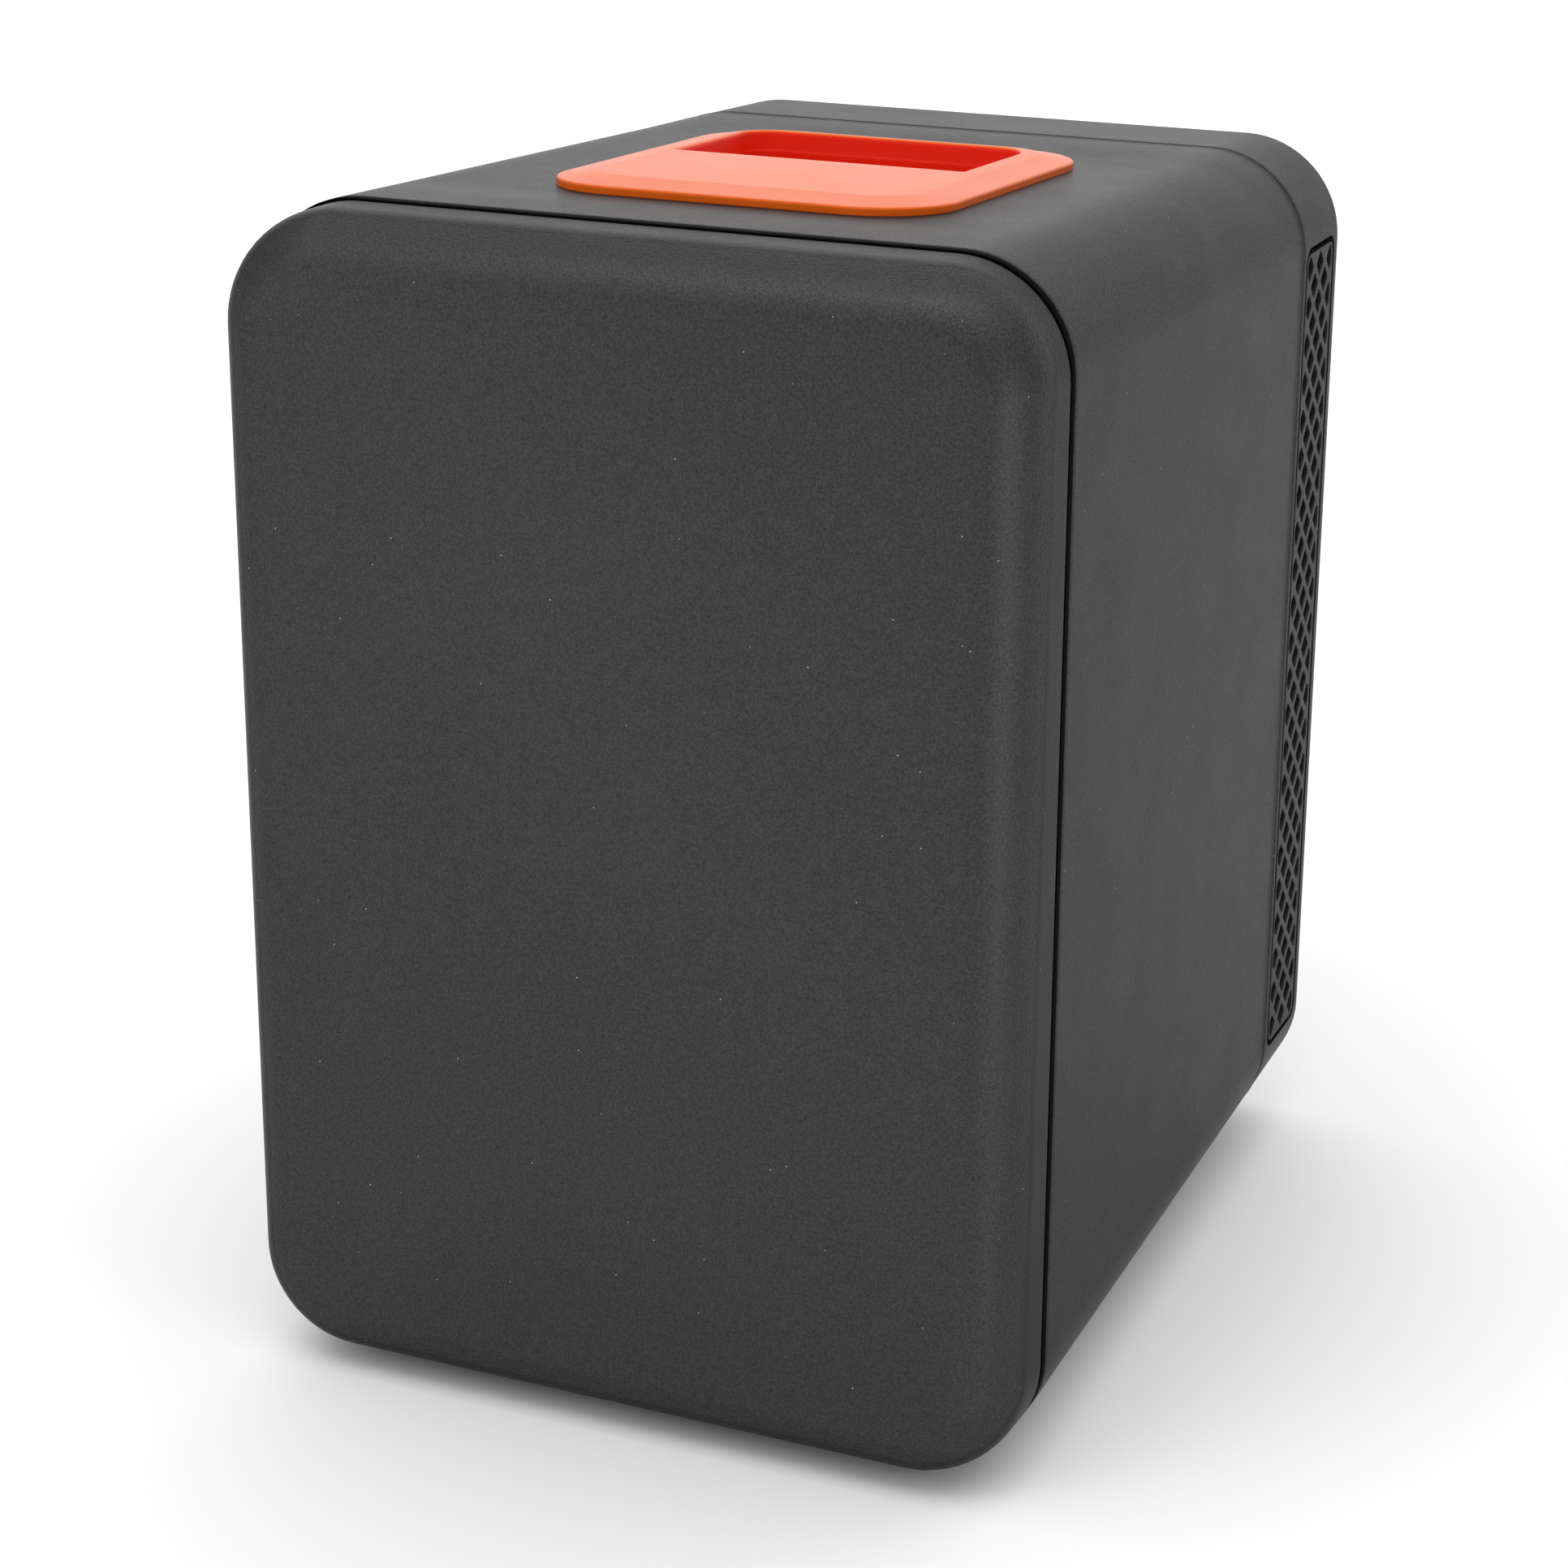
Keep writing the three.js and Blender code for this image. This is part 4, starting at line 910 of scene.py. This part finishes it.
def handle():
    """The insert as one skin: tub, flange, crest, and the mouth down to the pocket's floor."""
    tub = ((3, -31.2), (0, -29), (0, -2))
    flange = ((1.2, -1.5), (0, -1.3), (0, 0.55), (0.1, 0.95), (0.35, 1.2), (0.8, 1.34), (2.4, 1.5))
    mouth = (
        (0, 2.74, -6), (0.5, 2.76, -0.6), (1.15, 2.62, 0.15), (1.6, 2.3, 0.5), (1.85, 1.85, 0.7),
        (1.95, 1.3, 0.7), (2.4, -2.6, 0.7), (2.8, -3.2, 0.2), (2.85, -3.6, -24), (2.9, -4.2, -25),
        (3.4, -26, -25), (4.4, -28.4, -24), (7, -29, -21),
    )
    rings = [handle_ring(HANDLE_TUB, *level) for level in tub]
    rings += [handle_ring(HANDLE_OUTLINE, *level) for level in flange]
    for t, height in ((0.5, 2.05), (0.8, 2.45), (0.93, 2.6), (1.0, 2.66)):
        ring_a = handle_ring(HANDLE_OUTLINE, 2.4, 0)
        ring_b = handle_ring(HANDLE_CREST, 0, 0)
        rings.append([
            tuple(p + (q - p) * t + lift for p, q, lift in zip(a, b, (0, 0, height)))
            for a, b in zip(ring_a, ring_b)
        ])
    rings += [handle_ring(HANDLE_MOUTH, *level) for level in mouth]
    return loft(rings)


def paint_pocket_shade(mesh):
    """Gives the faces inside the finger pocket a darker, redder orange: painted shade for the shadowed
    pocket.
    """
    mesh.materials.append(FINISH["orange_pocket_painted_shade"])
    for face in mesh.polygons:
        x, y, z = face.center * 1000
        along = y + DEPTH_MIDDLE
        above = z - FOOT_HEIGHT - HEIGHT + DRAFT * along
        in_mouth = abs(x - MOUTH_CENTRE) < MOUTH_REACH and MOUTH_NEAR < along < MOUTH_FAR
        if above < LIP_LEVEL and (in_mouth or above < -POCKET_DEPTH and face.normal.z > 0):
            face.material_index = 1


grip = piece("carry_handle", handle(), "cabinet", "orange_plastic", ["handle_insert"], sharp=40)
# The faces down in the finger pocket get the painted shade.
paint_pocket_shade(grip.data)

# ------------------------------------------------------------------ rear cover and vents


def vent_outline(grow):
    front, back, low, high = VENT
    return rounded(front - grow, back + grow, low - grow, high + grow, (VENT_RADIUS + grow,) * 4, 8)


def socket_outline(x, half, grow, radius, steps=6):
    """A rounded rectangle at the height of the sockets, grown outwards."""
    half_width, half_height = half
    return rounded(
        x - half_width - grow, x + half_width + grow,
        INLET_Z - half_height - grow, INLET_Z + half_height + grow,
        (radius,) * 4, steps,
    )


def panel_outline(grow):
    return socket_outline(0, PANEL_HALF, grow, 3 + grow, 8)


def inlet_panel():
    """The plate that carries the sockets, the switch and the lamps."""
    holes = [
        socket_outline(AC_X, AC_HALF, GAP, 2.5),
        circle(DC_X, INLET_Z, DC_RADIUS + 0.5),
        socket_outline(0, SWITCH_HALF, GAP, 1.5),
        *(circle(x, INLET_Z, 2.25, 24) for x in LED_X),
    ]
    face = plate(panel_outline(0), holes, 3.2, 0.4, lambda a, b, c: (a, COVER_BACK - 1.6 + c, b))
    flange = plate(
        panel_outline(2.2), [panel_outline(-1)], 1.4, 0.2, lambda a, b, c: (a, COVER_BACK - 3.6 + c, b),
    )
    return joined(face, flange)


def rear_cover():
    start = COVER_BACK - COVER_FILLET
    outer = [
        casing(COVER_FRONT, 0.8), casing(COVER_FRONT + 0.2, 0.3), casing(COVER_FRONT + 0.7, 0),
        casing(226, 0),
    ]
    inner = []
    for step in range(9):
        angle = (step / 8) * math.pi / 2
        turn = 1 - math.cos(angle)
        outer.append(casing(start + COVER_FILLET * math.sin(angle), COVER_FILLET * turn, start))
        if step % 2 == 0:
            radius = COVER_FILLET - WALL
            inner.append(casing(start + radius * math.sin(angle), WALL + radius * turn, start))
    outer += [casing(COVER_BACK, COVER_FILLET + 0.6, start), casing(COVER_BACK, COVER_FILLET + 8, start)]
    inner.append(casing(COVER_BACK - WALL, COVER_FILLET + 6, start))
    lip = [
        casing(COVER_FRONT + 3, WALL), casing(COVER_FRONT + 1.2, WALL + 2.1), casing(217.4, WALL + 2.1),
        casing(216.6, WALL + 1.7), casing(216.6, WALL + GAP + 0.7), casing(217.6, WALL + GAP),
        casing(COVER_FRONT - 0.1, WALL + GAP), casing(COVER_FRONT, 1.6),
    ]
    cover = loft(inner[::-1] + lip + outer)
    depth = (COVER_BACK - 5, COVER_BACK + 1)
    cutters = [prism(vent_outline(0), "X", 100, 125), prism(vent_outline(0), "X", -125, -100)]
    cutters.append(prism(circle(0, COOLER_Z, GRILLE_RADIUS + 0.6, 72), "Y", *depth))
    cutters.append(prism(panel_outline(GAP), "Y", *depth))
    cutters += [prism(circle(x, z, 4.2, 32), "Y", COVER_BACK - 2.6, COVER_BACK + 1) for x, z in SCREWS]
    return carve(cover, *cutters)


piece("rear_shell", rear_cover(), "cabinet", "charcoal_plastic", ["rear_cover"])
piece("socket_panel", inlet_panel(), "cabinet", "charcoal_plastic", ["inlet_panel"])


def soft_polygon(points, radius):
    """A polygon whose corners are rounded off by short arcs."""
    steps = 3
    made = []
    count = len(points)
    for i, corner in enumerate(points):
        here = Vector(corner)
        before = Vector(points[i - 1]) - here
        after = Vector(points[(i + 1) % count]) - here
        reach = min(radius, 0.45 * before.length, 0.45 * after.length)
        a, b = here + before.normalized() * reach, here + after.normalized() * reach
        for step in range(steps + 1):
            t = step / steps
            curve = a.lerp(here, t).lerp(here.lerp(b, t), t)
            made.append((curve.x, curve.y))
    return made


def diamond(y, z):
    """A diamond hole with soft corners, cut straight where it meets the panel's border."""
    low, high = DIAMOND_CLIP
    points = []
    for way, room in ((1, high - y), (-1, y - low)):
        points.append((y, z - way * DIAMOND_HALF))
        if room < DIAMOND_HALF:
            rise = way * (DIAMOND_HALF - room)
            points += [(y + way * room, z - rise), (y + way * room, z + rise)]
        else:
            points.append((y + way * DIAMOND_HALF, z))
    return soft_polygon(points, DIAMOND_CORNER)


VENT_MIDDLE = (VENT[0] + VENT[1]) / 2


def on_side(side, depth):
    """How a vent's flat plate is placed: this deep in the casing's leaning side."""
    wall = WIDTH / 2 - DRAFT * VENT_MIDDLE

    def place(a, b, c):
        return side * (wall - DRAFT * (a - VENT_MIDDLE) - depth + c), a, b

    return place


def side_vent(side):
    """The vent panel, with three and two diamonds in turn up its height."""
    holes = []
    for line in range(2 * DIAMOND_ROWS - 1):
        z = DIAMOND_FIRST_Z + line * DIAMOND_PITCH_Z / 2
        for column in ((-1, 0, 1) if line % 2 == 0 else (-0.5, 0.5)):
            holes.append(diamond(VENT_MIDDLE + column * DIAMOND_PITCH_Y, z))
    return plate(vent_outline(-VENT_GROOVE), holes, 2.4, 0.3, on_side(side, 1.2))


def vent_rebate(side):
    """The frame behind the panel that makes the floor of the groove round it."""
    opening = vent_outline(-VENT_GROOVE - 1.0)
    return plate(vent_outline(1.4), [opening], 1.4, 0.2, on_side(side, 3.9))


for name, side in (("right", 1), ("left", -1)):
    made = joined(side_vent(side), vent_rebate(side))
    piece("vent_panel_" + name, made, "cabinet", "charcoal_plastic", ["side_vent_" + name])


def grille():
    """The fan grille: three rings, four spokes and a hub, as slots in a round plate."""
    bands = ((13.5, 21.4), (24, 32.9), (35.5, 44.4))
    holes = []
    for near, far in bands:
        for quarter in range(4):
            start = math.pi / 4 + quarter * math.pi / 2
            steps = 14
            ring = []
            for radius, order in ((far, range(steps + 1)), (near, range(steps, -1, -1))):
                margin = 1.7 / radius
                for step in order:
                    turn = start + margin + (math.pi / 2 - 2 * margin) * step / steps
                    ring.append((radius * math.cos(turn), COOLER_Z + radius * math.sin(turn)))
            holes.append(ring)
    outline = circle(0, COOLER_Z, GRILLE_RADIUS, 96)
    return plate(outline, holes, 2.8, 0.5, lambda a, b, c: (a, COVER_BACK - 2 + c, b))


piece("fan_grille", grille(), "cabinet", "charcoal_plastic", ["rear_grille"])

# ------------------------------------------------------------------ fans, inlets and small parts


def rotor(y0, depth, hub, tip, sweep):
    """A fan rotor with a domed hub and twisted, curved blades."""
    hub_form = lathe((0, y0, COOLER_Z), "Y", (
        (0, 0), (hub - 1.2, 0), (hub - 0.3, 0.3), (hub, 1.2), (hub, depth - 1), (hub - 0.6, depth - 0.3),
        (hub - 1.8, depth), (0, depth + 0.3),
    ), 56)
    blades = []
    spans, chords = 8, 8
    for i in range(FAN_BLADES):
        base = 2 * math.pi * i / FAN_BLADES
        sheets = []
        for lift in (-0.45, 0.45):
            grid = []
            for s in range(spans + 1):
                radius = hub - 0.8 + (tip - hub + 0.8) * s / spans
                width = (0.74 - 0.10 * s / spans) * 2 * math.pi / FAN_BLADES
                pitch = depth * (0.40 - 0.10 * s / spans)
                line = []
                for c in range(chords + 1):
                    t = c / chords - 0.5
                    turn = base + width * t + sweep * (s / spans) ** 1.6
                    y = y0 + depth / 2 + 2 * pitch * t + 0.10 * depth * (1 - 4 * t * t)
                    taper = max(0.25, 1 - (2 * abs(t)) ** 3)
                    y += lift * taper
                    line.append((radius * math.cos(turn), y, COOLER_Z + radius * math.sin(turn)))
                grid.append(line)
            sheets.append(grid)
        blades.append(loft([front + back[::-1] for front, back in zip(*sheets)]))
    return joined(hub_form, *blades)


rear_form = rotor(y0=225.3, depth=17.5, hub=18, tip=41.5, sweep=0.35)
piece("rear_rotor", rear_form, "rear_rotor", "black_plastic", ["rear_fan_rotor"])
inner_form = rotor(y0=144.9, depth=5.6, hub=11, tip=26.6, sweep=0.3)
piece("inner_rotor_form", inner_form, "inner_rotor", "black_plastic", ["inner_fan_rotor"])


def fan_cover():
    """The cover over the cold side's fan: a soft-edged cup with seven slots and two side outlets."""
    half = FAN_COVER_HALF
    front = FAN_COVER_FRONT
    slot_circle, slot_pitch = 27, 7

    def ring(inset, y):
        outline = rounded(
            -half + inset, half - inset, COOLER_Z - half + inset, COOLER_Z + half - inset,
            (max(8 - inset, 3),) * 4, 10,
        )
        return [(x, y, z) for x, z in outline]

    rings = [ring(2, front + 2.2), ring(2, CAVITY_BACK - GAP), ring(0, CAVITY_BACK - GAP)]
    for step in range(6):
        angle = (step / 5) * math.pi / 2
        rings.append(ring(2.5 * (1 - math.cos(angle)), front + 2.5 - 2.5 * math.sin(angle)))
    rings.append(ring(4, front))
    cutters = []
    for i in range(-3, 4):
        reach = math.sqrt(slot_circle ** 2 - (slot_pitch * i) ** 2)
        z = COOLER_Z + slot_pitch * i
        slot = rounded(-reach, reach, z - 2, z + 2, (1.95,) * 4, 5)
        cutters.append(prism(slot, "Y", front - 1, front + 3))
    cutters += [
        side_bar(side, 38, 44, front + 8, CAVITY_BACK - 4, COOLER_Z - 28, COOLER_Z + 28, 0)
        for side in (-1, 1)
    ]
    return carve(loft(rings), *cutters)


piece("cold_fan_cover", fan_cover(), "cabinet", "pale_plastic", ["inner_fan_cover"])


def knuckle(z, direction):
    chamfer = 0.35
    r, bore, length = KNUCKLE_RADIUS, 1.8, KNUCKLE_LENGTH
    barrel = lathe((HINGE_X, HINGE_Y, z), "Z", (
        (bore, chamfer), (bore + chamfer, 0), (r - chamfer, 0), (r, chamfer), (r, length - chamfer),
        (r - chamfer, length), (bore + chamfer, length), (bore, length - chamfer), (bore, chamfer),
    ), 40)
    inner = HINGE_X + 2.1
    y0 = HINGE_Y + 1.9 if direction > 0 else HINGE_Y - 13
    y1 = HINGE_Y + 20 if direction > 0 else HINGE_Y - 1.9
    return joined(barrel, bar(inner - 2.2, inner, y0, y1, z + 0.1, z + length - 0.1, 0.3, 2))


for level, z in zip(("lower", "upper"), HINGE_HEIGHTS):
    piece("hinge_body_" + level, knuckle(z, 1), "cabinet", "black_plastic", ["body_knuckle_" + level])
    high = z + KNUCKLE_LENGTH + GAP
    piece("hinge_door_" + level, knuckle(high, -1), "door", "black_plastic", ["door_knuckle_" + level])
    pin = lathe((HINGE_X, HINGE_Y, z), "Z", (
        (0, -2.2), (2.0, -2.2), (2.4, -1.8), (2.4, -0.6), (2.1, -0.3), (1.5, -0.3),
        (1.5, 2 * KNUCKLE_LENGTH + 0.6), (1.2, 2 * KNUCKLE_LENGTH + 1), (0, 2 * KNUCKLE_LENGTH + 1),
    ), 32)
    piece("hinge_pin_form_" + level, pin, "cabinet", "steel", ["hinge_pin_" + level])

for name, x, y in FEET:
    # The underside rises towards the back, so the rear feet are taller.
    height = FOOT_HEIGHT + DRAFT * (y - 9) - GAP
    foot = lathe((x, y, -FOOT_HEIGHT), "Z", (
        (0, 0.5), (4.4, 0.5), (4.7, 0), (7.4, 0), (8.2, 0.2), (8.8, 0.8), (9, 1.6), (9, height),
        (0, height),
    ), 48)
    piece(name + "_pad", foot, "cabinet", "rubber", [name])


def rear_screw(x, z):
    """A pan-head screw with a cross recess."""
    head = lathe((x, COVER_BACK - 2.3, z), "Y", (
        (0, 0), (3.4, 0), (3.6, 0.3), (3.5, 1.0), (2.9, 1.6), (1.6, 1.9), (0, 1.95),
    ), 40)
    cross = [
        bar(x - 0.5, x + 0.5, COVER_BACK - 1.5, COVER_BACK + 1, z - 2.1, z + 2.1, 0),
        bar(x - 2.1, x + 2.1, COVER_BACK - 1.5, COVER_BACK + 1, z - 0.5, z + 0.5, 0),
    ]
    shank = lathe((x, 246, z), "Y", ((0, 0), (1.0, 0.8), (1.4, 2), (1.4, 23.2), (0, 23.2)), 24)
    return joined(carve(head, *cross), shank)


for i, (x, z) in enumerate(SCREWS):
    number = str(i + 1)
    piece("cover_screw_" + number, rear_screw(x, z), "cabinet", "steel", ["rear_screw_" + number])


def ac_inlet():
    """The mains inlet: a rounded block with a socket shaped like a figure eight."""
    y0, y1 = SOCKET_FLOOR - 6, COVER_BACK

    def ring(inset, y):
        outline = socket_outline(AC_X, AC_HALF, -inset, 2.2 - min(inset, 1))
        return [(x, y, z) for x, z in outline]

    body = loft([ring(0, y0), ring(0, y1 - 0.6), ring(0.2, y1 - 0.2), ring(0.6, y1)])
    radius = AC_LOBE_RADIUS
    outline = []
    for side in (1, -1):
        centre = AC_X + side * AC_LOBE_OFFSET
        for step in range(25):
            turn = -0.75 * math.pi + 1.5 * math.pi * step / 24
            a = centre + side * radius * math.cos(turn)
            outline.append((a, INLET_Z + side * radius * math.sin(turn)))
    return carve(body, prism(outline, "Y", SOCKET_FLOOR, y1 + 1))


def dc_inlet():
    """The low-voltage inlet: a round barrel with a blind bore."""
    outer, bore, length = DC_RADIUS, 6.2, 20
    return lathe((DC_X, COVER_BACK - length, INLET_Z), "Y", (
        (0, 0), (outer, 0), (outer, length - 0.7), (outer - 0.2, length - 0.2), (outer - 0.7, length),
        (bore + 0.7, length), (bore + 0.2, length - 0.2), (bore, length - 0.8), (bore, 5), (0, 5),
    ), 56)


piece("mains_inlet", ac_inlet(), "cabinet", "black_plastic", ["ac_inlet"])
piece("low_voltage_inlet", dc_inlet(), "cabinet", "black_plastic", ["dc_inlet"])


def bezel():
    outline = socket_outline(0, SWITCH_HALF, 0, 1.4)
    hole = socket_outline(0, SWITCH_OPENING_HALF, 0, 0.9)
    depth = 9
    return plate(outline, [hole], depth, 0.5, lambda a, b, c: (a, COVER_BACK - depth / 2 + c, b))


def rocker():
    """The three-position rocker: two dished faces that meet in a shallow valley."""
    tip, reach, valley, rise, edge = 10.2, 9.4, 3.6, 1.6, 0.35
    profile = [(-9.6, -2), (9.6, -2), (tip, 4.6), (9.9, 5.1)]
    for step in range(13):
        up = reach - 2 * reach * step / 12
        profile.append((up, valley + rise * (abs(up) / reach) ** 1.4))
    profile += [(-9.9, 5.1), (-tip, 4.6)]
    wide, narrow = ROCKER_HALF_WIDTH, ROCKER_HALF_WIDTH - edge
    rings = []
    for x, inset in ((-wide, edge), (-narrow, 0), (narrow, 0), (wide, edge)):
        rings.append([
            (x, ROCKER_Y + out - (inset if out > 0 else 0), INLET_Z + up * (1 - inset / tip))
            for up, out in profile
        ])
    return loft(rings)


piece("switch_surround", bezel(), "cabinet", "black_plastic", ["switch_bezel"])
piece("switch_rocker", rocker(), "rocker", "black_plastic", ["mode_rocker"])

for name, x in zip(("cool", "warm"), LED_X):
    lens = lathe((x, COVER_BACK - LED_DEPTH, INLET_Z), "Y", (
        (0, 0), (2, 0), (2, 5.2), (1.85, 5.8), (1.5, 6.3), (0.9, 6.6), (0, 6.7),
    ), 32)
    slot = "green_lens" if name == "cool" else "red_lens"
    piece(name + "_lens", lens, "cabinet", slot, [name + "_indicator"])

# ------------------------------------------------------------------ floor, lights and camera


# Name, place and target in metres, width and height, watts.
SOFTBOXES = (
    ("overhead", (0, 0.4, 3.6), (0, 0.4, 0), (6.0, 6.0), 98),
    ("far_overhead", (-0.5, 4.4, 2.4), (-0.5, 4.4, 0), (5.0, 3.0), 26),
    ("back_wall", (0, 2.6, 0.9), (0, 0, 0.3), (5.0, 1.4), 17),
    ("top_front", (0, -1.2, 2.6), (0, 0, 0.3), (1.5, 0.8), 7.5),
    ("front_fill", (-0.5, -1.5, 1.7), (0, 0, 0.15), (1.2, 1.2), 5),
    ("left_fill", (-1.3, -1.6, 0.7), (0, 0, 0.15), (1.0, 1.0), 2.5),
    ("door_edge", (0.62, -0.42, 0.2), (0.1, -0.13, 0.15), (0.10, 0.4), 0.5),
)
WORLD_STRENGTH = 0.72
FLOOR_HALF = 70
FLOOR_COLOR = (0.88, 0.88, 0.88)
CAMERA_PLACE = (0.4288, -0.9865, 0.5175)
CAMERA_YAW = math.radians(24.185)
CAMERA_PITCH = math.radians(-18.854)
CAMERA_ROLL = math.radians(-0.31)
FOCAL_LENGTH = 84.48
SENSOR_WIDTH = 36


def stage_floor():
    bm = bmesh.new()
    bmesh.ops.create_grid(bm, x_segments=1, y_segments=1, size=FLOOR_HALF)
    made = bpy.data.objects.new("floor", mesh_of(bm, "floor"))
    bpy.context.scene.collection.objects.link(made)
    made.data.materials.append(shader("floor", FLOOR_COLOR, 0.9, specular=0.1)[0])


def softbox(name, place, target, size, power):
    light = bpy.data.lights.new(name, "AREA")
    light.shape = "RECTANGLE"
    light.size, light.size_y = size
    light.energy = power
    made = bpy.data.objects.new(name, light)
    made.location = place
    made.rotation_euler = (Vector(target) - Vector(place)).to_track_quat("-Z", "Y").to_euler()
    made.visible_camera = False
    bpy.context.scene.collection.objects.link(made)


def white_world():
    world = bpy.data.worlds.new("studio")
    world.use_nodes = True
    background = world.node_tree.nodes["Background"]
    background.inputs["Color"].default_value = (1, 1, 1, 1)
    background.inputs["Strength"].default_value = WORLD_STRENGTH
    bpy.context.scene.world = world


def aim_camera():
    """A long lens at the front right, a little above the roof, tipped down and very slightly rolled."""
    yaw, pitch, roll = CAMERA_YAW, CAMERA_PITCH, CAMERA_ROLL
    forward = Vector((
        -math.sin(yaw) * math.cos(pitch),
        math.cos(yaw) * math.cos(pitch),
        math.sin(pitch),
    ))
    right = Vector((math.cos(yaw), math.sin(yaw), 0))
    down = forward.cross(right)
    across = math.cos(roll) * right + math.sin(roll) * down
    below = -math.sin(roll) * right + math.cos(roll) * down
    lens = bpy.data.cameras.new("camera")
    lens.lens = FOCAL_LENGTH
    lens.sensor_width = SENSOR_WIDTH
    lens.clip_end = 200
    camera = bpy.data.objects.new("camera", lens)
    turn = Matrix((across, -below, -forward)).transposed().to_4x4()
    camera.matrix_world = Matrix.Translation(Vector(CAMERA_PLACE)) @ turn
    bpy.context.scene.collection.objects.link(camera)
    bpy.context.scene.camera = camera


stage_floor()
white_world()
for light in SOFTBOXES:
    softbox(*light)
aim_camera()
bpy.context.scene.view_settings.view_transform = "Standard"
